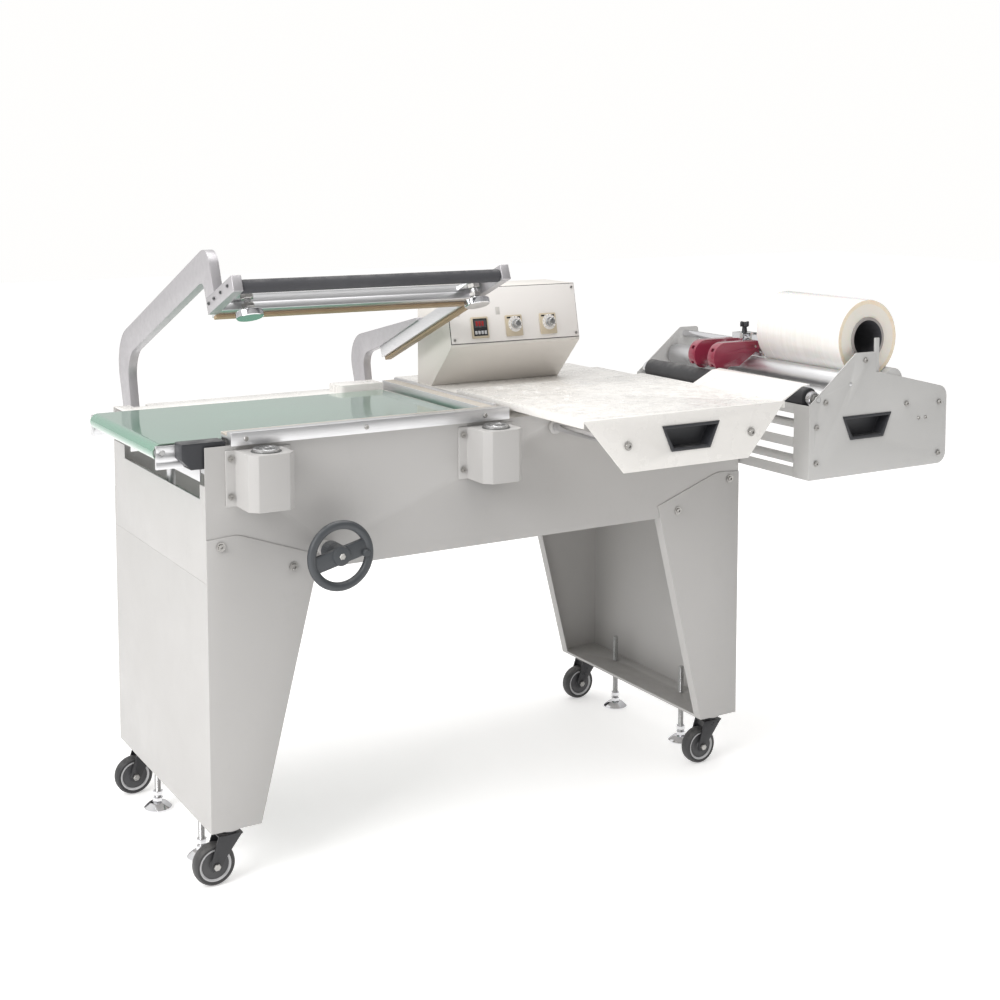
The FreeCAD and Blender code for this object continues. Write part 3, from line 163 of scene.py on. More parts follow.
def makeDustGroup():  # fine dust on faces that look up, and faint handling marks
    tree, given, result = startGroup("dustAndMarks", [
        ("Color", "Color", (0.8, 0.8, 0.8, 1)), ("Dust", "Color", (0.7, 0.68, 0.65, 1)),
        ("Marks", "Color", (0.3, 0.28, 0.25, 1)), ("Dust Amount", "Float", 0.3),
        ("Mark Amount", "Float", 0.15)],
        [("Color", "Color")])
    place = addNode(tree, "TexCoord").outputs["Object"]
    facing = addNode(tree, "SeparateXYZ")
    link(addNode(tree, "NewGeometry").outputs["Normal"], facing.inputs["Vector"])
    upward = remap(tree, facing.outputs["Z"], 0.5, 0.95, 0.0, 1.0)
    specks = remap(tree, addNoise(tree, place, 45.0, 6.0, 0.75), 0.42, 0.75, 0.0, 1.0)
    dusty = calculate(tree, "MULTIPLY", calculate(tree, "MULTIPLY", upward, specks),
        given.outputs["Dust Amount"])
    rubs = remap(tree, addNoise(tree, place, 9.0, 8.0, 0.78), 0.56, 0.72, 0.0, 1.0)
    marked = mixColour(tree, calculate(tree, "MULTIPLY", rubs, given.outputs["Mark Amount"]),
        given.outputs["Color"],
        given.outputs["Marks"])
    link(mixColour(tree, dusty, marked, given.outputs["Dust"]), result.inputs["Color"])
    return tree


skinGroup = makeSkinGroup()
streakGroup = makeStreakGroup()
dustGroup = makeDustGroup()


def startMaterial(name, shaderValues):
    material = bpy.data.materials.new(name)
    material.use_nodes = True
    shader = material.node_tree.nodes["Principled BSDF"]
    for socket, value in shaderValues.items():
        shader.inputs[socket].default_value = value
    return material, material.node_tree, shader


def addBump(tree, shader, height, strength, distance):
    bump = addNode(tree, "Bump")
    bump.inputs["Strength"].default_value = strength
    bump.inputs["Distance"].default_value = distance
    link(height, bump.inputs["Height"])
    wire(bump, "Normal", shader, "Normal")


def finishMaterial(name, group, values, bump, dirt, shaderValues):
    material, tree, shader = startMaterial(name, shaderValues)
    source = tree.nodes.new("ShaderNodeGroup")
    source.node_tree = group
    for socket, value in values.items():
        source.inputs[socket].default_value = value
    dust = tree.nodes.new("ShaderNodeGroup")
    dust.node_tree = dustGroup
    dust.inputs["Marks"].default_value = tuple(0.6 * c for c in values["Base"][:3]) + (1,)
    dust.inputs["Dust Amount"].default_value, dust.inputs["Mark Amount"].default_value = dirt
    wire(source, "Color", dust, "Color")
    wire(dust, "Color", shader, "Base Color")
    wire(source, "Roughness", shader, "Roughness")
    addBump(tree, shader, source.outputs["Height"], *bump)
    return material


def skinMaterial(name, base, shade, drift=0.5, grain=900.0, gloss=(0.3, 0.45), bump=(0.15, 0.0004),
    dirt=(0.2, 0.1), **shaderValues):
    values = {"Base": (*base, 1), "Shade": (*shade, 1), "Drift": drift, "Grain Scale": grain,
        "Smooth": gloss[0],
        "Rough": gloss[1]}
    return finishMaterial(name, skinGroup, values, bump, dirt, shaderValues)


def metalMaterial(name, base, shade, stretch, depth=0.5, gloss=(0.2, 0.4), bump=(0.08, 0.0002),
    dirt=(0.1, 0.12),
    metallic=1.0, **shaderValues):
    values = {"Base": (*base, 1), "Shade": (*shade, 1), "Stretch": stretch, "Depth": depth, "Smooth": gloss[0],
        "Rough": gloss[1]}
    return finishMaterial(name, streakGroup, values, bump, dirt, {"Metallic": metallic, **shaderValues})


standGrey = skinMaterial("standGrey", (0.46, 0.45, 0.44), (0.43, 0.42, 0.41), 0.35, 1400, (0.38, 0.52),
    (0.12, 0.0004))
boxCream = skinMaterial("boxCream", (0.78, 0.745, 0.70), (0.73, 0.695, 0.645), 0.35, 1200, (0.28, 0.42),
    (0.08, 0.0004))
tableCream = skinMaterial("tableCream", (0.80, 0.78, 0.75), (0.75, 0.73, 0.70), 0.3, 1200, (0.2, 0.36),
    (0.06, 0.0004))
unwinderGrey = skinMaterial("unwinderGrey", (0.54, 0.535, 0.525), (0.50, 0.495, 0.485), 0.3, 1500,
    (0.34, 0.48), (0.1, 0.0004))
alongX = metalMaterial("drawnAlongX", (0.78, 0.78, 0.79), (0.60, 0.60, 0.61), (30, 1100, 1100), 0.4,
    (0.30, 0.48))
alongY = metalMaterial("drawnAlongY", (0.78, 0.78, 0.79), (0.60, 0.60, 0.61), (1100, 30, 1100), 0.4,
    (0.30, 0.48))
milled = metalMaterial("milledArm", (0.50, 0.485, 0.50), (0.42, 0.41, 0.42), (700, 90, 90), 0.35, (0.36, 0.52),
    metallic=0.65)
steel = metalMaterial("groundSteel", (0.58, 0.58, 0.58), (0.40, 0.40, 0.40), (900, 900, 60), 0.4, (0.22, 0.38))
zinc = metalMaterial("zincScrew", (0.50, 0.49, 0.47), (0.32, 0.31, 0.30), (500, 500, 500), 0.6, (0.25, 0.45))
chrome = metalMaterial("brightChrome", (0.80, 0.80, 0.82), (0.66, 0.66, 0.68), (600, 600, 600), 0.2,
    (0.06, 0.16), (0.02, 0.0002))
yellowZinc = metalMaterial("yellowZinc", (0.70, 0.53, 0.21), (0.50, 0.35, 0.13), (500, 500, 60), 0.5,
    (0.25, 0.42))
blackPlastic = skinMaterial("blackPlastic", (0.024, 0.025, 0.03), (0.045, 0.046, 0.05), 0.5, 1500,
    (0.30, 0.48), (0.25, 0.0004))
blackEnamel = skinMaterial("blackEnamel", (0.018, 0.018, 0.02), (0.04, 0.04, 0.045), 0.4, 700, (0.22, 0.42),
    (0.1, 0.0004))
wheelBlack = skinMaterial("handwheelBlack", (0.045, 0.05, 0.056), (0.075, 0.08, 0.086), 0.5, 1200, (0.3, 0.5),
    (0.2, 0.0004))
foamBlack = skinMaterial("foamGrip", (0.045, 0.045, 0.052), (0.085, 0.085, 0.09), 0.7, 700, (0.75, 0.92),
    (0.6, 0.0012))
rubberBlack = skinMaterial("rollerRubber", (0.03, 0.03, 0.034), (0.06, 0.06, 0.06), 0.5, 900, (0.5, 0.7),
    (0.3, 0.0004))
tyreBlack = skinMaterial("tyreBlack", (0.03, 0.03, 0.033), (0.07, 0.068, 0.066), 0.6, 600, (0.42, 0.68),
    (0.25, 0.0004))
hubBlack = skinMaterial("hubBlack", (0.05, 0.05, 0.055), (0.08, 0.08, 0.08), 0.5, 900, (0.35, 0.5),
    (0.15, 0.0004))
coverRed = skinMaterial("coverRed", (0.27, 0.03, 0.06), (0.22, 0.025, 0.05), 0.4, 900, (0.18, 0.3),
    (0.06, 0.0003), **{"Coat Weight": 0.5})
bezelBeige = skinMaterial("bezelBeige", (0.56, 0.48, 0.36), (0.48, 0.41, 0.30), 0.5, 900, (0.4, 0.55),
    (0.15, 0.0003))
panelWhite = skinMaterial("panelWhite", (0.82, 0.79, 0.765), (0.78, 0.75, 0.72), 0.3, 1800, (0.3, 0.45),
    (0.05, 0.0002))
legendGrey = skinMaterial("legendGrey", (0.60, 0.575, 0.55), (0.56, 0.54, 0.51), 0.4, 1500, (0.3, 0.45),
    (0.05, 0.0002))
siliconeTan = skinMaterial("siliconeTan", (0.60, 0.55, 0.49), (0.48, 0.43, 0.36), 0.6, 1600, (0.5, 0.7),
    (0.4, 0.0004))
tapeTan = skinMaterial("tapeTan", (0.40, 0.29, 0.18), (0.30, 0.21, 0.12), 0.7, 1800, (0.35, 0.55),
    (0.4, 0.0003))
ringGrey = skinMaterial("ringGrey", (0.55, 0.55, 0.56), (0.45, 0.45, 0.46), 0.5, 800, (0.35, 0.5),
    (0.1, 0.0003))
resinDark = skinMaterial("coilResin", (0.06, 0.065, 0.062), (0.10, 0.10, 0.10), 0.6, 900, (0.3, 0.5),
    (0.2, 0.0004))
coreGrey = skinMaterial("coreCard", (0.34, 0.315, 0.30), (0.24, 0.22, 0.21), 0.6, 700, (0.5, 0.7),
    (0.3, 0.0004))
# painted shade: the card core's bore is painted near black for the shade inside the tube
coreBoreShade = skinMaterial("coreBorePaintedShade", (0.07, 0.07, 0.078), (0.045, 0.045, 0.05), 0.5, 500, (0.5, 0.7),
    (0.3, 0.0005))
displayDark = skinMaterial("displayDark", (0.02, 0.021, 0.024), (0.03, 0.03, 0.034), 0.3, 900, (0.08, 0.2),
    (0.02, 0.0002), **{"Coat Weight": 0.6})
lampRed = skinMaterial("lampRed", (0.35, 0.03, 0.03), (0.25, 0.02, 0.02), 0.3, 900, (0.15, 0.3), (0.02, 0.0002))


def colourRamp(tree, shader, height, low, high, spots=(0.0, 1.0)):
    ramp = addNode(tree, "ValToRGB")
    for element, colour, spot in zip(ramp.color_ramp.elements, (low, high), spots):
        element.color = (*colour, 1)
        element.position = spot
    link(height, ramp.inputs["Fac"])
    wire(ramp, "Color", shader, "Base Color")


def makeBeltMaterial(name, light, dark, gloss, coat):
    material, tree, shader = startMaterial(name, {"Coat Weight": coat, "Coat Roughness": 0.05,
        "Specular IOR Level": 0.7})
    place = addNode(tree, "TexCoord").outputs["Object"]
    cloud = addNoise(tree, place, 5.0, 4.0, 0.6)
    fine = addNoise(tree, place, 420.0, 2.0, 0.5)
    colourRamp(tree, shader, cloud, dark, light)
    link(remap(tree, cloud, 0.3, 0.7, gloss, gloss + 0.1), shader.inputs["Roughness"])
    addBump(tree, shader, fine, 0.05, 0.0003)
    return material


def makeRollMaterial(name, colours, stretch, coat, roughness):
    material, tree, shader = startMaterial(name, {"Coat Weight": coat, "Coat Roughness": 0.08,
        "Subsurface Weight": 0.2, "Subsurface Scale": 0.01})
    place = addNode(tree, "TexCoord").outputs["Object"]
    scaled = addNode(tree, "VectorMath", operation="MULTIPLY")
    scaled.inputs[1].default_value = stretch
    link(place, scaled.inputs[0])
    bands = addNoise(tree, scaled.outputs["Vector"], 1.0, 4.0, 0.65)
    colourRamp(tree, shader, bands, *colours, (0.35, 0.75))
    link(remap(tree, bands, 0.3, 0.7, roughness, roughness + 0.2), shader.inputs["Roughness"])
    addBump(tree, shader, bands, 0.25, 0.0006)
    return material


def makeLayerMaterial(name, colours, centre):  # wound layers: fine rings about the roll's axis
    material, tree, shader = startMaterial(name, {"Coat Weight": 0.3, "Subsurface Weight": 0.3,
        "Subsurface Scale": 0.01})
    place = addNode(tree, "TexCoord").outputs["Object"]
    moved = addNode(tree, "Mapping")
    moved.inputs["Location"].default_value = -centre
    link(place, moved.inputs["Vector"])
    rings = addNode(tree, "TexWave", wave_type="RINGS", rings_direction="Y")
    for socket, value in (("Scale", 150.0), ("Distortion", 0.6), ("Detail", 3.0), ("Detail Scale", 1.0)):
        rings.inputs[socket].default_value = value
    wire(moved, "Vector", rings, "Vector")
    drift = addNoise(tree, moved.outputs["Vector"], 30.0, 3.0, 0.5)
    both = calculate(tree, "MULTIPLY", rings.outputs["Fac"], drift)
    colourRamp(tree, shader, both, *colours)
    link(remap(tree, drift, 0.3, 0.7, 0.3, 0.5), shader.inputs["Roughness"])
    addBump(tree, shader, rings.outputs["Fac"], 0.3, 0.0004)
    return material


# clear film: where the fold noise is high it turns whiter and less see-through, partly the film's own haze and
# partly painted sheen for the glints along its creases
def makeFilmMaterial(name, clear, hazeAndSheen):
    material, tree, shader = startMaterial(name, {"Coat Weight": 0.8, "Coat Roughness": 0.05, "IOR": 1.5})
    place = addNode(tree, "TexCoord").outputs["Object"]
    folds = addNoise(tree, place, 34.0, 6.0, 0.72)
    # painted sheen with some real haze: the fold noise whitens the film and raises its opacity
    colourRamp(tree, shader, folds, (0.94, 0.93, 0.91), (0.99, 0.99, 0.99))
    link(remap(tree, folds, 0.45, 0.70, clear, hazeAndSheen), shader.inputs["Alpha"])
    link(remap(tree, folds, 0.3, 0.7, 0.05, 0.22), shader.inputs["Roughness"])
    addBump(tree, shader, folds, 0.7, 0.003)
    return material


rollCentre = (sum(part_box("film_roll"), Vector()) / 2)
beltGreen = makeBeltMaterial("beltGreen", (0.10, 0.27, 0.18), (0.065, 0.21, 0.135), 0.08, 1.0)
beltEdge = makeBeltMaterial("beltEdge", (0.20, 0.28, 0.22), (0.13, 0.20, 0.155), 0.4, 0.1)
rollSide = makeRollMaterial("rollSide", ((0.88, 0.86, 0.83), (0.80, 0.775, 0.74)), (4, 90, 4), 0.7, 0.12)
rollRim = makeRollMaterial("rollRim", ((0.82, 0.73, 0.58), (0.72, 0.62, 0.47)), (90, 90, 90), 0.3, 0.25)
rollLayers = makeLayerMaterial("rollLayers", ((0.80, 0.755, 0.685), (0.68, 0.635, 0.565)), rollCentre)
filmClear = makeFilmMaterial("filmClear", 0.08, 0.55)
print("materials made")


# making pieces

def finishPiece(name, mesh, body, smooth=32, node=None):
    for polygon in mesh.polygons:
        polygon.use_smooth = True
    mesh.set_sharp_from_angle(angle=math.radians(smooth))
    piece = bpy.data.objects.new(name, mesh)
    scene.collection.objects.link(piece)
    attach(piece, body)
    if node:
        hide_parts(*([node] if isinstance(node, str) else node))
    return piece


def bakeModifiers(holder):
    bpy.context.view_layer.update()
    graph = bpy.context.evaluated_depsgraph_get()
    mesh = bpy.data.meshes.new_from_object(holder.evaluated_get(graph), depsgraph=graph)
    bpy.data.objects.remove(holder)
    return mesh


def assemble(name, body, pieces, node=None, smooth=32):  # pieces: (bmesh, material)
    whole = bmesh.new()
    finishes = []
    for work, finish in pieces:
        if finish not in finishes:
            finishes.append(finish)
        for face in work.faces:
            face.material_index = finishes.index(finish)
        part = bpy.data.meshes.new("part")
        work.to_mesh(part)
        work.free()
        whole.from_mesh(part)
        bpy.data.meshes.remove(part)
    mesh = bpy.data.meshes.new(name)
    whole.to_mesh(mesh)
    whole.free()
    for finish in finishes:
        mesh.materials.append(finish)
    return finishPiece(name, mesh, body, smooth, node)


axisTurn = {"Z": Matrix.Identity(4), "X": Matrix.Rotation(math.radians(90), 4, "Y"),
    "Y": Matrix.Rotation(math.radians(-90), 4, "X")}


def lathe(points, place, axis="Z", segments=48, closed=False):  # points: (radius, height) in millimetres
    work = bmesh.new()
    rings = []
    for radius, height in points:
        if radius < 1e-6:
            rings.append([work.verts.new((0, 0, height * mm))])
            continue
        angles = [2 * math.pi * i / segments for i in range(segments)]
        rings.append([work.verts.new((radius * mm * math.cos(a), radius * mm * math.sin(a),
            height * mm)) for a in angles])
    pairs = list(zip(rings, rings[1:])) + ([(rings[-1], rings[0])] if closed else [])
    for first, second in pairs:
        for i in range(segments):
            j = (i + 1) % segments
            loop = [first[i % len(first)], first[j % len(first)], second[j % len(second)],
                second[i % len(second)]]
            loop = [v for k, v in enumerate(loop) if v not in loop[:k]]
            if len(loop) > 2:
                work.faces.new(loop)
    bmesh.ops.recalc_face_normals(work, faces=work.faces)
    turn = axisTurn[axis] if isinstance(axis, str) else axis
    bmesh.ops.transform(work, matrix=Matrix.Translation(place) @ turn, verts=work.verts)
    return work


def brick(low, high, edge=0.6, turn=None):  # corners in millimetres, within the frame that turn gives
    work = bmesh.new()
    bmesh.ops.create_cube(work, size=1)
    low, high = Vector(low) * mm, Vector(high) * mm
    bmesh.ops.scale(work, vec=high - low, verts=work.verts)
    bmesh.ops.translate(work, vec=(low + high) / 2, verts=work.verts)
    if edge:
        bmesh.ops.bevel(work, geom=work.edges[:], offset=edge * mm, segments=2, profile=0.5, affect="EDGES")
    bmesh.ops.transform(work, matrix=turn or Matrix.Translation(at(0, 0, 0)), verts=work.verts)
    return work


def extrude(outline, depth, turn, edge=0.5):  # outline in millimetres in the turn's XY, pulled along its Z
    work = bmesh.new()
    corners = [work.verts.new((x * mm, y * mm, 0)) for x, y in outline]
    face = work.faces.new(corners)
    pulled = bmesh.ops.extrude_face_region(work, geom=[face])
    moved = [v for v in pulled["geom"] if isinstance(v, bmesh.types.BMVert)]
    bmesh.ops.translate(work, vec=(0, 0, depth * mm), verts=moved)
    bmesh.ops.recalc_face_normals(work, faces=work.faces)
    if edge:
        rims = [e for e in work.edges if abs(e.verts[0].co.z - e.verts[1].co.z) < 1e-7]
        bmesh.ops.bevel(work, geom=rims, offset=edge * mm, segments=2, profile=0.5, affect="EDGES")
    bmesh.ops.transform(work, matrix=turn, verts=work.verts)
    return work


def islandsOf(work):
    left = set(work.verts)
    while left:
        queue = [left.pop()]
        island = list(queue)
        while queue:
            for edge in queue.pop().link_edges:
                for vertex in edge.verts:
                    if vertex in left:
                        left.discard(vertex)
                        queue.append(vertex)
                        island.append(vertex)
        yield island


def dress(node, finishes, width, sorter=None, segments=2, limit=28):
    work = bmesh.new()
    work.from_mesh(frame["nodes"][node].data)
    bmesh.ops.remove_doubles(work, verts=work.verts, dist=2e-5)
    bmesh.ops.dissolve_limit(work, angle_limit=math.radians(0.6), verts=work.verts, edges=work.edges)
    if sorter:
        dropped = []
        for island in islandsOf(work):
            low = Vector([min(v.co[i] for v in island) for i in range(3)])
            high = Vector([max(v.co[i] for v in island) for i in range(3)])
            number = sorter((low + high) / 2 / mm - at(0, 0, 0) / mm, (high - low) / mm)
            if number is None:
                dropped.extend(island)
                continue
            for face in {f for v in island for f in v.link_faces}:
                face.material_index = number
        bmesh.ops.delete(work, geom=dropped, context="VERTS")
    mesh = bpy.data.meshes.new("dressing")
    work.to_mesh(mesh)
    work.free()
    mesh.materials.clear()
    for finish in finishes:
        mesh.materials.append(finish)
    holder = bpy.data.objects.new("holder", mesh)
    scene.collection.objects.link(holder)
    if width:
        bevel = holder.modifiers.new("edges", "BEVEL")
        bevel.width, bevel.segments = width * mm, segments
        bevel.limit_method, bevel.angle_limit = "ANGLE", math.radians(limit)
    baked = bakeModifiers(holder)
    baked.name = node + "Dressed"
    return finishPiece(node + "Dressed", baked, bodyOf[node], limit + 4, node)


# Geometry Nodes trees

def startTree(name, inputs):
    tree = bpy.data.node_groups.new(name, "GeometryNodeTree")
    tree.interface.new_socket("Geometry", in_out="INPUT", socket_type="NodeSocketGeometry")
    for label, kind, value in inputs:
        socket = tree.interface.new_socket(label, in_out="INPUT", socket_type="NodeSocket" + kind)
        if value is not None:
            socket.default_value = value
    tree.interface.new_socket("Geometry", in_out="OUTPUT", socket_type="NodeSocketGeometry")
    return tree, tree.nodes.new("NodeGroupInput"), tree.nodes.new("NodeGroupOutput")


def endTree(tree, given, result, instances):
    real = tree.nodes.new("GeometryNodeRealizeInstances")
    coat = tree.nodes.new("GeometryNodeSetMaterial")
    link(instances, real.inputs["Geometry"])
    wire(real, "Geometry", coat, "Geometry")
    wire(given, "Material", coat, "Material")
    wire(coat, "Geometry", result, "Geometry")
    return tree


def makeRibTree():  # ribs in a ring about Z: knurls, tread blocks, grip flutes
    tree, given, result = startTree("ribsInRing", [
        ("Ribs", "Int", 40), ("Ring Radius", "Float", 0.02), ("Rib Width", "Float", 0.001),
        ("Rib Depth", "Float", 0.001), ("Rib Length", "Float", 0.01), ("Lean", "Float", 0.0),
        ("Material", "Material", None)])
    ring = tree.nodes.new("GeometryNodeMeshCircle")
    wire(given, "Ribs", ring, "Vertices")
    wire(given, "Ring Radius", ring, "Radius")
    size = tree.nodes.new("ShaderNodeCombineXYZ")
    for axis, label in zip("XYZ", ("Rib Depth", "Rib Width", "Rib Length")):
        link(given.outputs[label], size.inputs[axis])
    rib = tree.nodes.new("GeometryNodeMeshCube")
    wire(size, "Vector", rib, "Size")
    outward = tree.nodes.new("FunctionNodeAlignRotationToVector")
    outward.axis = "X"
    outward.pivot_axis = "Z"
    link(tree.nodes.new("GeometryNodeInputPosition").outputs["Position"], outward.inputs["Vector"])
    lean = tree.nodes.new("FunctionNodeAxisAngleToRotation")
    lean.inputs["Axis"].default_value = (1, 0, 0)
    wire(given, "Lean", lean, "Angle")
    both = tree.nodes.new("FunctionNodeRotateRotation")
    both.rotation_space = "LOCAL"
    wire(outward, "Rotation", both, "Rotation")
    wire(lean, "Rotation", both, "Rotate By")
    spread = tree.nodes.new("GeometryNodeInstanceOnPoints")
    wire(ring, "Mesh", spread, "Points")
    wire(rib, "Mesh", spread, "Instance")
    wire(both, "Rotation", spread, "Rotation")
    return endTree(tree, given, result, spread.outputs["Instances"])


def makeScrewTree():  # button-head screws on points, each along the point's own direction
    tree, given, result = startTree("screwsOnPoints", [
        ("Head Radius", "Float", 0.005), ("Head Height", "Float", 0.003), ("Washer", "Float", 0.0),
        ("Material", "Material", None)])
    radius, height = given.outputs["Head Radius"], given.outputs["Head Height"]

    def times(value, number):
        step = tree.nodes.new("ShaderNodeMath")
        step.operation = "MULTIPLY"
        link(value, step.inputs[0])
        step.inputs[1].default_value = number
        return step.outputs["Value"]

    def drum(sides, wide, narrow, tall, lift):
        cone = tree.nodes.new("GeometryNodeMeshCone")
        cone.inputs["Vertices"].default_value = sides
        link(wide, cone.inputs["Radius Bottom"])
        link(narrow, cone.inputs["Radius Top"])
        link(tall, cone.inputs["Depth"])
        shift = tree.nodes.new("ShaderNodeCombineXYZ")
        link(lift, shift.inputs["Z"])
        moved = tree.nodes.new("GeometryNodeTransform")
        wire(cone, "Mesh", moved, "Geometry")
        wire(shift, "Vector", moved, "Translation")
        return moved.outputs["Geometry"]

    body = drum(20, radius, times(radius, 0.82), height, times(height, 0.0))
    socket = drum(6, times(radius, 0.48), times(radius, 0.48), height, times(height, 0.45))
    hollow = tree.nodes.new("GeometryNodeMeshBoolean")
    hollow.operation = "DIFFERENCE"
    link(body, hollow.inputs["Mesh 1"])
    link(socket, hollow.inputs["Mesh 2"])
    washer = drum(20, given.outputs["Washer"], given.outputs["Washer"], times(height, 0.3), times(height, 0.0))
    joined = tree.nodes.new("GeometryNodeJoinGeometry")
    wire(hollow, "Mesh", joined, "Geometry")
    link(washer, joined.inputs["Geometry"])
    facing = tree.nodes.new("GeometryNodeInputNamedAttribute")
    facing.data_type = "FLOAT_VECTOR"
    facing.inputs["Name"].default_value = "facing"
    aim = tree.nodes.new("FunctionNodeAlignRotationToVector")
    aim.axis = "Z"
    wire(facing, "Attribute", aim, "Vector")
    spread = tree.nodes.new("GeometryNodeInstanceOnPoints")
    wire(given, "Geometry", spread, "Points")
    wire(joined, "Geometry", spread, "Instance")
    wire(aim, "Rotation", spread, "Rotation")
    return endTree(tree, given, result, spread.outputs["Instances"])


ribTree = makeRibTree()
screwTree = makeScrewTree()


def runTree(tree, mesh, values):
    holder = bpy.data.objects.new("holder", mesh)
    scene.collection.objects.link(holder)
    modifier = holder.modifiers.new("build", "NODES")
    modifier.node_group = tree
    for item in tree.interface.items_tree:
        if item.item_type == "SOCKET" and item.in_out == "INPUT" and item.name in values:
            modifier[item.identifier] = values[item.name]
    return bakeModifiers(holder)


def ribs(count, radius, width, depth, length, finish, place, axis="Z", lean=0.0):
    mesh = runTree(ribTree, bpy.data.meshes.new("seed"), {
        "Ribs": count, "Ring Radius": radius * mm, "Rib Width": width * mm, "Rib Depth": depth * mm,
        "Rib Length": length * mm, "Lean": math.radians(lean), "Material": finish})
    work = bmesh.new()
    work.from_mesh(mesh)
    bpy.data.meshes.remove(mesh)
    turn = axisTurn[axis] if isinstance(axis, str) else axis
    bmesh.ops.transform(work, matrix=Matrix.Translation(place) @ turn, verts=work.verts)
    return work


def screws(name, body, spots, radius, height, finish, washer=None, node=None):  # spots: (place, facing)
    mesh = bpy.data.meshes.new("points")
    mesh.from_pydata([tuple(place) for place, facing in spots], [], [])
    facings = mesh.attributes.new("facing", "FLOAT_VECTOR", "POINT")
    for number, (place, facing) in enumerate(spots):
        facings.data[number].vector = facing
    made = runTree(screwTree, mesh, {"Head Radius": radius * mm, "Head Height": height * mm,
        "Washer": (washer or 0.6 * radius) * mm, "Material": finish})
    made.name = name
    return finishPiece(name, made, body, 32, node)


print("trees made")


# sheet metal, rails and other pieces that keep the CAD shape, with their edges broken

dressed = {
    "leg_left": (standGrey, 1.4), "leg_right": (standGrey, 1.4), "front_sheet": (standGrey, 0.9),
    "rear_sheet": (standGrey, 0.9), "end_panels": (standGrey, 0.9), "table_plates": (tableCream, 1.6),
    "magnet_boxes": (standGrey, 1.2), "jaw_rail_long": (alongX, 0.6), "jaw_rail_side": (alongY, 0.6),
    "jaw_silicone": (siliconeTan, 0.5), "stand_brackets": (standGrey, 0.8), "control_box": (boxCream, 2.5),
    "arm_left": (milled, 2.2), "arm_right": (milled, 2.2), "sealing_bar_long": (alongX, 0.8),
    "sealing_bar_side": (alongY, 0.8), "sealing_strips": (tapeTan, 0.8), "film_tray": (tableCream, 0.9),
    "unwinder_side_front": (unwinderGrey, 0.8), "unwinder_side_back": (unwinderGrey, 0.8),
    "tray_pull": (blackPlastic, 0.9), "unwinder_pull": (blackPlastic, 0.9), "motor_cover": (blackPlastic, 2.5),
    "punch_arm_front": (coverRed, 2.4), "punch_arm_back": (coverRed, 2.4), "pivot_shaft": (steel, 0.8),
    "cradle_roller": (alongY, 1.0),
}
for node, (finish, width) in dressed.items():
    dress(node, [finish], width)
dress("unwinder_bars", [unwinderGrey, chrome, alongY], 0.7, lambda middle, size: (
    None if max(size) < 14 else 0 if min(size) < 5 else 2 if min(size) > 40 else 1))
dress("grip_brackets", [milled], 1.2, lambda middle, size: None if max(size) < 14 else 0)
dress("tray_rods", [chrome], 0.7, lambda middle, size: None if max(size) < 20 else 0)
dress("conveyor_frame", [alongX, steel, standGrey], 0.5, lambda middle, size: (
    0 if size.x > 500 and size.y < 10 else 1 if size.x > 300 or size.x < 20 else 2))
dress("bearing_bushes", [standGrey, yellowZinc, blackPlastic], 0.6, lambda middle, size: (
    1 if max(size) < 46 and middle.z < 300 else 2 if middle.x > 1150 else 0))
dress("punch_carrier", [chrome, blackPlastic], 1.2, lambda middle, size: (
    0 if size.y > 200 else None if size.x < 30 and size.z < 40 else 1))
print("CAD shapes dressed")

# turned pieces

caster = {"radius": 37.5, "width": 24, "tyre": 8, "forkSide": 17.2, "nut": 6.6}
levelling = {"stud": 6, "root": 5.4, "padTop": 14, "turns": 76, "pitch": 2, "studTop": 168, "nuts": (14, 27)}


def mirrored(points):  # a wheel's outline: the given half, then the same on the other side
    return points + [(radius, -along) for radius, along in reversed(points)]


for corner in ("left_front", "left_back", "right_front", "right_back"):
    node = "caster_wheel_" + corner
    centre = sum(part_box(node), Vector()) / 2
    half, outer = caster["width"] / 2, caster["radius"]
    rim = outer - caster["tyre"]
    assemble(node + "Turned", node, [
        (lathe(mirrored([(rim, -half + 1), (outer - 4, -half), (outer - 1.2, -half + 3), (outer, -half + 8)]),
            centre, "Y", 72, True), tyreBlack),
        (lathe(mirrored([(4.2, -half - 1), (9, -half - 1), (11, -half + 2.5), (rim - 5, -half + 3.5),
            (rim - 2, -half + 1.2), (rim, -half + 1.2)]), centre, "Y", 56, True), hubBlack)] + [
            (lathe([(rim - 4.6, end * (half - 2.9)), (rim - 2.2, end * (half - 1)),
            (rim - 0.6, end * (half - 0.9)),
            (rim - 0.6, end * (half - 1.6))], centre, "Y", 56), ringGrey) for end in (-1, 1)], node)
    fork = "caster_fork_" + corner
    dress(fork, [blackEnamel], 0.8)
    nut, forkSide = caster["nut"], caster["forkSide"]
    assemble(fork + "Nuts", fork, [
        (lathe([(0, end * (forkSide + 5)), (nut - 1.1, end * (forkSide + 5)), (nut, end * (forkSide + 4)),
            (nut, end * forkSide), (0, end * forkSide)], centre, "Y", 6), zinc) for end in (-1, 1)])
    foot = "levelling_foot_" + corner
    low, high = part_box(foot)
    base = Vector(((low.x + high.x) / 2, (low.y + high.y) / 2, 0))
    stud, padTop, pitch = levelling["stud"], levelling["padTop"], levelling["pitch"]
    thread = [(0, padTop), (stud, padTop)]
    for turn in range(levelling["turns"]):
        thread += [(levelling["root"], padTop + 1 + pitch * turn), (stud, padTop + 2 + pitch * turn)]
    thread += [(stud - 1.4, levelling["studTop"]), (0, levelling["studTop"])]
    assemble(foot + "Turned", foot, [
        (lathe([(0, 0.2), (25, 0.2), (27, 1.2), (27, 4), (25.5, 5.5), (17, 12.5), (13, 14), (0, 14)], base,
        "Z", 56), chrome),
        (lathe(thread, base, "Z", 20), steel),
    ] + [
            (lathe([(stud, low), (9, low), (10, low + 1), (10, low + 8), (9, low + 9), (stud, low + 9)], base,
            "Z", 6, True),
            chrome) for low in levelling["nuts"]], foot)

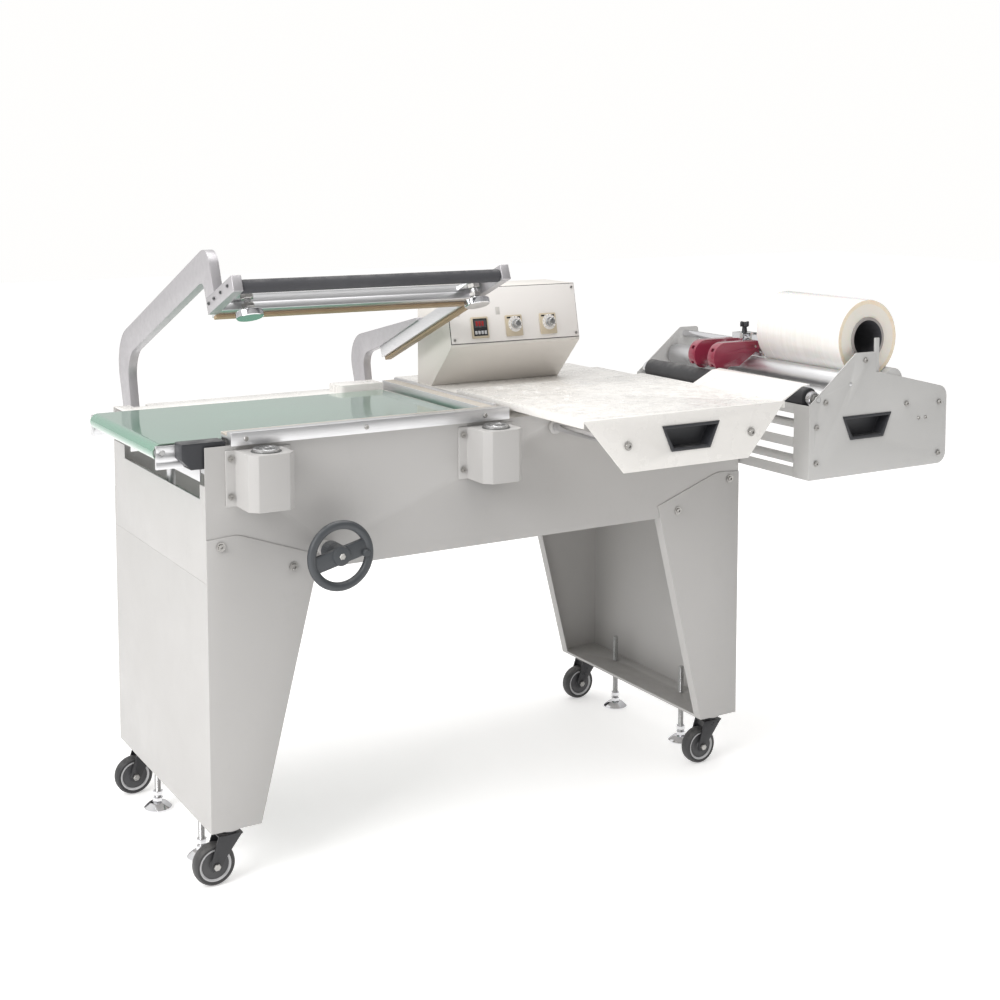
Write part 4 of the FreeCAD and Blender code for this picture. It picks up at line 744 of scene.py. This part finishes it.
handwheel = {"place": at(217, -70, 584), "ring": 54.5, "tube": 8, "tubeDepth": 7.5, "lean": -14, "flutes": 28}
wheelPlace = handwheel["place"]
rimAngles = [2 * math.pi * i / 24 for i in range(24)]
rimProfile = [(handwheel["ring"] + handwheel["tube"] * math.cos(a), handwheel["tubeDepth"] * math.sin(a))
    for a in rimAngles]
spokeTurn = Matrix.Translation(wheelPlace) @ Matrix.Rotation(math.radians(handwheel["lean"]), 4, "Y")
assemble("handwheelTurned", "handwheel", [
    (lathe(rimProfile, wheelPlace, "Y", 112, True), wheelBlack),
    (brick((-52, -5, -15), (52, 5, 15), 3, spokeTurn), wheelBlack),
    (lathe([(0, -9), (8, -9), (16, -7.5), (17.5, -5), (17.5, 44), (16, 46), (0, 46)], wheelPlace, "Y", 48),
    wheelBlack),
    (lathe([(0, -10.2), (5, -10.2), (6, -9.4), (6, -8.5), (0, -8.5)], wheelPlace, "Y", 6), zinc),
    (lathe([(0, 40), (6.9, 40), (6.9, 109), (6, 110), (0, 110)], wheelPlace, "Y", 32), steel),
    (ribs(handwheel["flutes"], 16.9, 1.6, 1.6, 18, wheelBlack, wheelPlace + Vector((0, 0.030, 0)), "Y"),
    wheelBlack),
    (lathe([(0, -11), (5.5, -10.5), (7, -8), (7, 0), (0, 0)], wheelPlace + Vector((0.0465, 0, 0)), "Y", 24),
    wheelBlack),
], "handwheel")

roll = {"outer": 80, "rim": 70.5, "coreOuter": 44, "coreInner": 38, "length": 248}
rollPlace = Vector((rollCentre.x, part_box("film_roll")[0].y, rollCentre.z))
assemble("filmRollWound", "film_roll", [
    (lathe([(78.6, 0), (79.7, 0.8), (roll["outer"], 2.5), (roll["outer"], roll["length"] - 2.5),
        (79.7, roll["length"] - 0.8), (78.6, roll["length"])], rollPlace, "Y", 128), rollSide),
    (lathe([(roll["rim"], 0.25), (72, 0), (78.6, 0)], rollPlace, "Y", 128), rollRim),
    (lathe([(44.05, 0.6), (46, 0.2), (58, 0.45), (roll["rim"], 0.25)], rollPlace, "Y", 128), rollLayers),
    (lathe([(78.6, roll["length"]), (72, roll["length"]), (roll["rim"], roll["length"] - 0.25)], rollPlace,
    "Y", 128),
        rollRim),
    (lathe([(roll["rim"], roll["length"] - 0.25), (58, 247.5), (46, 247.8), (44.05, 247.4)], rollPlace, "Y",
    128),
        rollLayers),
], "film_roll")
assemble("filmCoreTube", "film_roll", [
    (lathe([(38.2, -1.5), (38.7, -2), (43.4, -2), (roll["coreOuter"], -1.4), (roll["coreOuter"], 249.4),
    (43.4, 250),
        (38.7, 250), (38.2, 249.5)], rollPlace, "Y", 96), coreGrey),
    # the bore of the core takes the painted-shade finish
    (lathe([(38.2, 249.5), (roll["coreInner"], roll["length"]), (roll["coreInner"], 0), (38.2, -1.5)],
        rollPlace, "Y", 96), coreBoreShade)], "film_core")

nip = {"front": at(1190, -203, 797), "radius": 21, "sleeve": (24, 547), "knurls": 44}
assemble("rubberRollerTurned", "rubber_roller", [
    (lathe([(6, nip["sleeve"][0]), (19.6, nip["sleeve"][0]), (nip["radius"], 26), (nip["radius"], 545),
        (19.6, nip["sleeve"][1]), (6, nip["sleeve"][1])], nip["front"], "Y", 64), rubberBlack),
    (lathe([(6, 8), (13, 8), (14.6, 9.5), (14.6, 21.5), (13, 23), (6, 23)], nip["front"], "Y", 48), chrome),
    (ribs(nip["knurls"], 14.5, 1.1, 0.9, 11, chrome, nip["front"] + Vector((0, 0.0155, 0)), "Y", 18), chrome),
    (lathe([(5, 3), (9, 3), (10.4, 4), (10.4, 7.5), (5, 8)], nip["front"], "Y", 6), zinc),
    (lathe([(0, -2.8), (5.4, -2.8), (5.9, -2), (5.9, 570), (0, 570)], nip["front"], "Y", 32), steel),
    (lathe([(6, 548), (13, 548), (14.6, 550), (14.6, 562), (6, 563)], nip["front"], "Y", 48), chrome)],
    "rubber_roller")

tailPlace = at(-59, 44.5, 772)
assemble("tailRollerTurned", "tail_roller", [
    (lathe([(5, 8), (12, 8), (12.9, 9), (12.9, 380), (12, 381), (5, 381)], tailPlace, "Y", 48), alongY),
    (lathe([(0, 0), (4.4, 0), (4.9, 0.6), (4.9, 388), (0, 388.4)], tailPlace, "Y", 24), steel)], "tail_roller")
print("turned pieces made")

# electromagnets and the armatures that they hold

head = {"pivot": at(0, 548, 722), "raised": -22, "magnets": (96, 551), "knurls": 72}
headTilt = Matrix.Translation(head["pivot"]) @ Matrix.Rotation(math.radians(head["raised"]), 4, "X")
magnets = []
armatures = []
for across in head["magnets"]:
    top = at(across, -36, 780)
    magnets += [
        (lathe([(23.4, -60), (23.4, -1), (22.6, 0), (17.6, 0), (17.4, -1.1)], top, "Z", 72), steel),
        (lathe([(17.4, -1.1), (11.7, -1.1)], top, "Z", 72), resinDark),
        (lathe([(11.7, -1.1), (11.5, 0), (4.4, 0), (3.8, -0.8), (3.6, -6), (0, -6)], top, "Z", 56), steel),
        (lathe([(26.3, -5.9), (26.3, -5.3), (25.6, -5), (23.6, -5), (23.5, -5.9)], top, "Z", 72), resinDark)]
    reach = headTilt @ Matrix.Translation(Vector((across - (2 if across > 300 else 0), -584, 59.5)) * mm)
    spot, aim = reach.to_translation(), reach.to_3x3().to_4x4()
    armatures += [
        (lathe([(0, 0), (22.5, 0), (24, 1.2), (24, 10.8), (22.8, 12), (9, 12), (7, 13), (0, 13)], spot, aim,
        72), chrome),
        (ribs(head["knurls"], 23.9, 0.9, 0.7, 8.4, chrome, reach @ Vector((0, 0, 6 * mm)), aim, 0), chrome),
        (lathe([(0, 12), (6.9, 12), (6.9, 43), (0, 43)], spot, aim, 28), steel),
        (lathe([(6.5, 18), (11, 18), (12, 19), (12, 25), (11, 26), (6.5, 26)], spot, aim, 6, True), zinc),
        (lathe([(6.5, 34), (11, 34), (12, 35), (12, 42), (11, 43), (6.5, 43)], spot, aim, 6, True), zinc)]
assemble("magnetCores", "stand", magnets, "electromagnets")
assemble("armatureDiscs", "head", armatures, "armatures")

gripStart = headTilt @ Vector((58 * mm, -654 * mm, 95 * mm))
assemble("foamGrip", "head", [
    (lathe([(0, 0), (11.2, 0), (11.9, 2), (12, 8), (11.7, 250), (12, 497), (11.9, 503), (11.2, 505), (0, 505)],
        gripStart, "X", 48), foamBlack)], "grip_tube")
print("magnets, armatures and grip made")

# control panel

panel = {"tilt": 78, "timers": (132, 216), "marks": 11, "sweep": 270}
face = Matrix.Translation(at(616, 252, 889)) @ Matrix.Rotation(math.radians(panel["tilt"]), 4, "X")
assemble("panelSheet", "stand", [
    (brick((2, 6.5, 0.2), (312, 119.5, 1.9), 0.6, face), panelWhite),
    (brick((0.8, 5, 0), (313.2, 120.8, 0.9), 0.3, face), displayDark)] + [
        (brick((low, 62, 1.7), (low + wide, 62 + tall, 2.15), 0.12, face), legendGrey)
        for low, wide, tall in ((112, 10, 16), (16, 10, 10))], "control_panel")


def ringOn(spot, inner, outer, low, high, finish, sides=48):
    centre = face @ (Vector((*spot, 0)) * mm)
    outline = [(inner, low), (outer, low), (outer, high - 0.3), (outer - 0.3, high), (inner, high)]
    return lathe(outline, centre, face.to_3x3().to_4x4(), sides, True), finish


bezels = []
for left in panel["timers"]:
    low = 15
    bezels += [(brick((left, low, 1.9), (left + 40, low + 44, 6), 1.6, face), bezelBeige),
        (brick((left + 3, low + 37, 5.6), (left + 12, low + 40.5, 6.25), 0.2, face), displayDark),
        (brick((left + 27, low + 37, 5.6), (left + 36, low + 40.5, 6.25), 0.2, face), displayDark),
        ringOn((left + 22, 40), 10.4, 16.5, 5.8, 6.35, panelWhite)]
    for mark in range(panel["marks"]):
        angle = math.radians(-panel["sweep"] / 2 + panel["sweep"] / (panel["marks"] - 1) * mark)
        turn = face @ Matrix.Translation(Vector((left + 22, 40, 0)) * mm) @ Matrix.Rotation(-angle, 4, "Z")
        bezels.append((brick((-0.35, 13, 6.2), (0.35, 16, 6.5), 0, turn), displayDark))
bezels += [(brick((50, 15, 1.9), (90, 59, 6), 1.6, face), bezelBeige),
    (brick((53.5, 19.5, 5.6), (86.5, 55.5, 6.4), 0.6, face), displayDark),
    (brick((56, 37, 6.2), (84, 52, 6.6), 0.3, face), hubBlack),
    (brick((59, 40, 6.4), (64, 50, 6.75), 0.2, face), lampRed),
    (brick((66, 40, 6.4), (71, 50, 6.75), 0.2, face), lampRed),
    (brick((73, 40, 6.4), (78, 50, 6.75), 0.2, face), lampRed)]
for number in range(4):
    bezels.append((brick((56 + 7.4 * number, 23, 6.2), (61.4 + 7.4 * number, 30, 7.3), 0.6, face), ringGrey))
assemble("instrumentBezels", "stand", bezels, "panel_instruments")
for name, left in zip(("timer_knob_left", "timer_knob_right"), panel["timers"]):
    spot = face @ (Vector((left + 22, 40, 0)) * mm)
    upright = face.to_3x3().to_4x4()
    assemble(name + "Turned", name, [
        (lathe([(0, 6.6), (9.6, 6.6), (10, 7.2), (10, 8.8), (9.4, 9.4), (7.2, 9.8), (7, 18.4), (6.2, 19.05),
        (0, 19.05)],
            spot, upright, 48), steel),
        (ribs(26, 6.9, 0.9, 0.8, 8, steel, face @ (Vector((left + 22, 40, 14)) * mm), upright), steel),
        (brick((left + 21.6, 41, 18.8), (left + 22.4, 46.4, 19.2), 0, face), displayDark)], name)
print("control panel made")

# belt and the film

belt = {"ends": (at(-59, 0, 772), at(541, 0, 772)), "front": at(0, 52, 0).y, "back": at(0, 425, 0).y,
    "outer": 15, "inner": 13.1, "sides": 22}


def makeBelt():
    def loop(radius):
        points = []
        for end, start in ((belt["ends"][1], 90), (belt["ends"][0], 270)):
            for i in range(belt["sides"] + 1):
                angle = math.radians(start - 180 * i / belt["sides"])
                points.append((end.x + radius * mm * math.cos(angle), end.z + radius * mm * math.sin(angle)))
        return points
    work = bmesh.new()
    rows = []
    outer, inner, near, far = belt["outer"], belt["inner"], belt["front"], belt["back"]
    for radius, along in ((outer - 0.5, near), (outer, near + 0.0006), (outer, far - 0.0006),
        (outer - 0.5, far),
        (inner, far), (inner, near)):
        rows.append([work.verts.new((x, along, z)) for x, z in loop(radius)])
    count = len(rows[0])
    for number, (first, second) in enumerate(zip(rows, rows[1:] + rows[:1])):
        for i in range(count):
            j = (i + 1) % count
            made = work.faces.new((first[i], first[j], second[j], second[i]))
            made.material_index = 0 if number == 1 else 1
    bmesh.ops.recalc_face_normals(work, faces=work.faces)
    mesh = bpy.data.meshes.new("conveyorBelt")
    work.to_mesh(mesh)
    work.free()
    mesh.materials.append(beltGreen)
    mesh.materials.append(beltEdge)
    return finishPiece("conveyorBelt", mesh, "conveyor", 32, "conveyor_belt")


makeBelt()


def wrinkle(x, y, scale, seed):
    ridge = 1 - abs(noise.noise(Vector((x * scale, y * scale * 0.7, seed))))
    fine = 1 - abs(noise.noise(Vector((x * scale * 2.7, y * scale * 2.1, seed + 5))))
    return 0.65 * ridge ** 3 + 0.35 * fine ** 4


looseSheet = {"cells": 150, "flat": 0.3, "height": 10.5, "folds": 16, "seed": 3.0, "sway": 3}


def makeFilmSheet():  # loose film on the tray, gathered towards its back left corner
    low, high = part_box("film_sheet")
    across = along = looseSheet["cells"]
    work = bmesh.new()
    rows = []
    for j in range(along + 1):
        row = []
        for i in range(across + 1):
            u, v = i / across, j / along
            x, y = low.x + u * (high.x - low.x), low.y + v * (high.y - low.y)
            rim = min(1, 9 * min(u, 1 - u, v, 1 - v))
            crumple = 0.25 + 0.75 * max(0, 1 - 1.6 * u) * min(1, 0.3 + v)
            folds = wrinkle(x, y, looseSheet["folds"], looseSheet["seed"]) * crumple * (0.25 + 0.75 * rim)
            lift = (looseSheet["flat"] + looseSheet["height"] * folds) * mm
            sway = looseSheet["sway"] * mm * noise.noise(Vector((x * 9, y * 9, 8)))
            row.append(work.verts.new((x + sway * rim, y + sway * rim, low.z + lift)))
        rows.append(row)
    for first, second in zip(rows, rows[1:]):
        for i in range(across):
            work.faces.new((first[i], first[i + 1], second[i + 1], second[i]))
    mesh = bpy.data.meshes.new("looseFilm")
    work.to_mesh(mesh)
    work.free()
    mesh.materials.append(filmClear)
    return finishPiece("looseFilm", mesh, "tray", 180, "film_sheet"), high - low


looseFilm, flatSize = makeFilmSheet()
print("belt and film made")

# screws

toFront, toBack, toLeft, toRight = Vector((0, -1, 0)), Vector((0, 1, 0)), Vector((-1, 0, 0)), Vector((1, 0, 0))
standScrews = []
for across, up in ((25, 609), (159, 557), (1137, 609), (1003, 557)):
    standScrews += [(at(across, -1.5, up), toFront), (at(across, 526.5, up), toBack)]
smallScrews = [(at(across + side * 51, -3, up), toFront)
    for across in head["magnets"] for side in (-1, 1) for up in (694, 760)]
screws("standScrews", "stand", standScrews, 6, 4, zinc, 8.5, "frame_bolts")
screws("bracketScrews", "stand", smallScrews, 4.5, 3, zinc, 6)
screws("jawScrews", "stand", [(at(44 + step, -8.4, 793), toFront) for step in (27, 255, 500)], 4.6, 2.4, zinc)
screws("panelScrews", "stand", [(face @ (Vector((u, v, 2.4)) * mm), face.to_3x3() @ Vector((0, 0, 1)))
    for u in (9, 305) for v in (14, 112)], 3, 1.4, zinc)
screws("traySideScrews", "tray", [(at(across, -242, 757), toFront) for across in (704, 989)], 7, 4, zinc, 8)
unwinderSpots = ((1185, 742), (1185, 670), (1524, 767), (1524, 660), (1313, 868), (1208, 790), (1430, 771))
screws("unwinderScrews", "unwinder", [(at(x, -207.2, z), toFront) for x, z in unwinderSpots] +
    [(at(x, 371.2, z), toBack) for x, z in unwinderSpots[:4]], 5.2, 3.2, zinc, 6)
screws("unwinderPins", "unwinder", [(at(x, -206.6, 738), toFront) for x in (1466, 1486)], 3.6, 2, zinc)
gripScrews = []
for along in (22, 58, 92, 120):
    for across, facing in ((39.6, toLeft), (581.4, toRight)):
        gripScrews.append((headTilt @ (Vector((across, -668 + along, 100)) * mm), facing))
screws("bracketArmScrews", "head", gripScrews, 3.6, 2, displayDark)
print("screws made")

# punch clamps' knobs

clampKnob = {"across": 1303, "along": (90, 156), "base": 891.3, "radius": 9.6, "lobe": 2.2, "lobes": 4,
    "steps": 64}
knobs = []
for along in clampKnob["along"]:
    lobes = []
    for i in range(clampKnob["steps"]):
        angle = 2 * math.pi * i / clampKnob["steps"]
        reach = clampKnob["radius"] + clampKnob["lobe"] * math.cos(clampKnob["lobes"] * angle)
        lobes.append((reach * math.cos(angle), reach * math.sin(angle)))
    base = at(clampKnob["across"], along, clampKnob["base"])
    knobs += [(extrude(lobes, 11, Matrix.Translation(base + Vector((0, 0, 0.0125))), 1.2), blackPlastic),
        (lathe([(0, 0), (6, 0), (5, 13), (0, 13)], base, "Z", 28), blackPlastic),
        (lathe([(0, 23.9), (4.6, 23.9), (5, 23.6), (5, 23), (0, 23)], base, "Z", 28), panelWhite)]
assemble("clampKnobs", "unwinder", knobs)
print("knobs made")


# camera, light and floor

view = {"place": at(-875, -2434.5, 1259.3), "turn": 30.88, "tip": 5.08, "lens": 54.80, "shift": -0.2}


def makeCamera():
    data = bpy.data.cameras.new("camera")
    data.lens, data.sensor_width, data.shift_y, data.clip_end = view["lens"], 36, view["shift"], 50
    camera = bpy.data.objects.new("camera", data)
    camera.location = view["place"]
    camera.rotation_euler = (math.radians(90 - view["tip"]), 0, math.radians(-view["turn"]))
    scene.collection.objects.link(camera)
    scene.camera = camera


def makeLight(name, place, aim, energy, size):
    data = bpy.data.lights.new(name, "AREA")
    data.energy = energy
    data.shape = "RECTANGLE"
    data.size, data.size_y = size
    light = bpy.data.objects.new(name, data)
    light.location = place
    light.rotation_euler = (Vector(aim) - Vector(place)).to_track_quat("-Z", "Y").to_euler()
    scene.collection.objects.link(light)


studio = {"base": 0.06, "above": 0.42, "behind": 0.42, "left": 0.34}


def makeWorld():  # white studio: brightest overhead and behind, dimmer from the operator's right
    world = bpy.data.worlds.new("studio")
    world.use_nodes = True
    tree = world.node_tree
    place = addNode(tree, "TexCoord").outputs["Generated"]
    parts = addNode(tree, "SeparateXYZ")
    link(place, parts.inputs["Vector"])
    above = remap(tree, parts.outputs["Z"], -0.2, 0.9, 0.0, studio["above"])
    behind = remap(tree, parts.outputs["Y"], -0.4, 0.9, 0.0, studio["behind"])
    left = remap(tree, parts.outputs["X"], 0.5, -0.9, 0.0, studio["left"])
    total = calculate(tree, "ADD", calculate(tree, "ADD", above, behind),
        calculate(tree, "ADD", left, studio["base"]))
    seen = addNode(tree, "LightPath").outputs["Is Camera Ray"]
    strength = addNode(tree, "Mix", data_type="FLOAT")
    link(seen, strength.inputs[0])
    link(total, strength.inputs[2])
    strength.inputs[3].default_value = 1.0
    link(strength.outputs[0], tree.nodes["Background"].inputs["Strength"])
    tree.nodes["Background"].inputs["Color"].default_value = (1, 0.995, 0.985, 1)
    scene.world = world


ground = {"size": 14, "drop": 0.0004, "glow": 0.42}


def makeFloor():
    work = bmesh.new()
    bmesh.ops.create_grid(work, x_segments=8, y_segments=8, size=ground["size"])
    mesh = bpy.data.meshes.new("floor")
    work.to_mesh(mesh)
    work.free()
    floor = bpy.data.objects.new("floor", mesh)
    floor.location = (0, 0, -ground["drop"])
    paint = skinMaterial("floorPaint", (0.93, 0.93, 0.93), (0.90, 0.90, 0.90), 0.4, 60, (0.6, 0.8),
        (0.02, 0.0004))
    shader = paint.node_tree.nodes["Principled BSDF"]
    shader.inputs["Emission Color"].default_value = (1, 0.99, 0.98, 1)
    shader.inputs["Emission Strength"].default_value = ground["glow"]
    mesh.materials.append(paint)
    scene.collection.objects.link(floor)


makeCamera()
makeWorld()
makeFloor()
makeLight("softLeft", at(-2600, -900, 2300), at(300, 200, 600), 70, (1.8, 1.6))
makeLight("softTop", at(700, 0, 3400), at(700, 200, 700), 55, (3.0, 2.4))
scene.view_settings.view_transform = "Standard"
print("camera, light and floor ready")
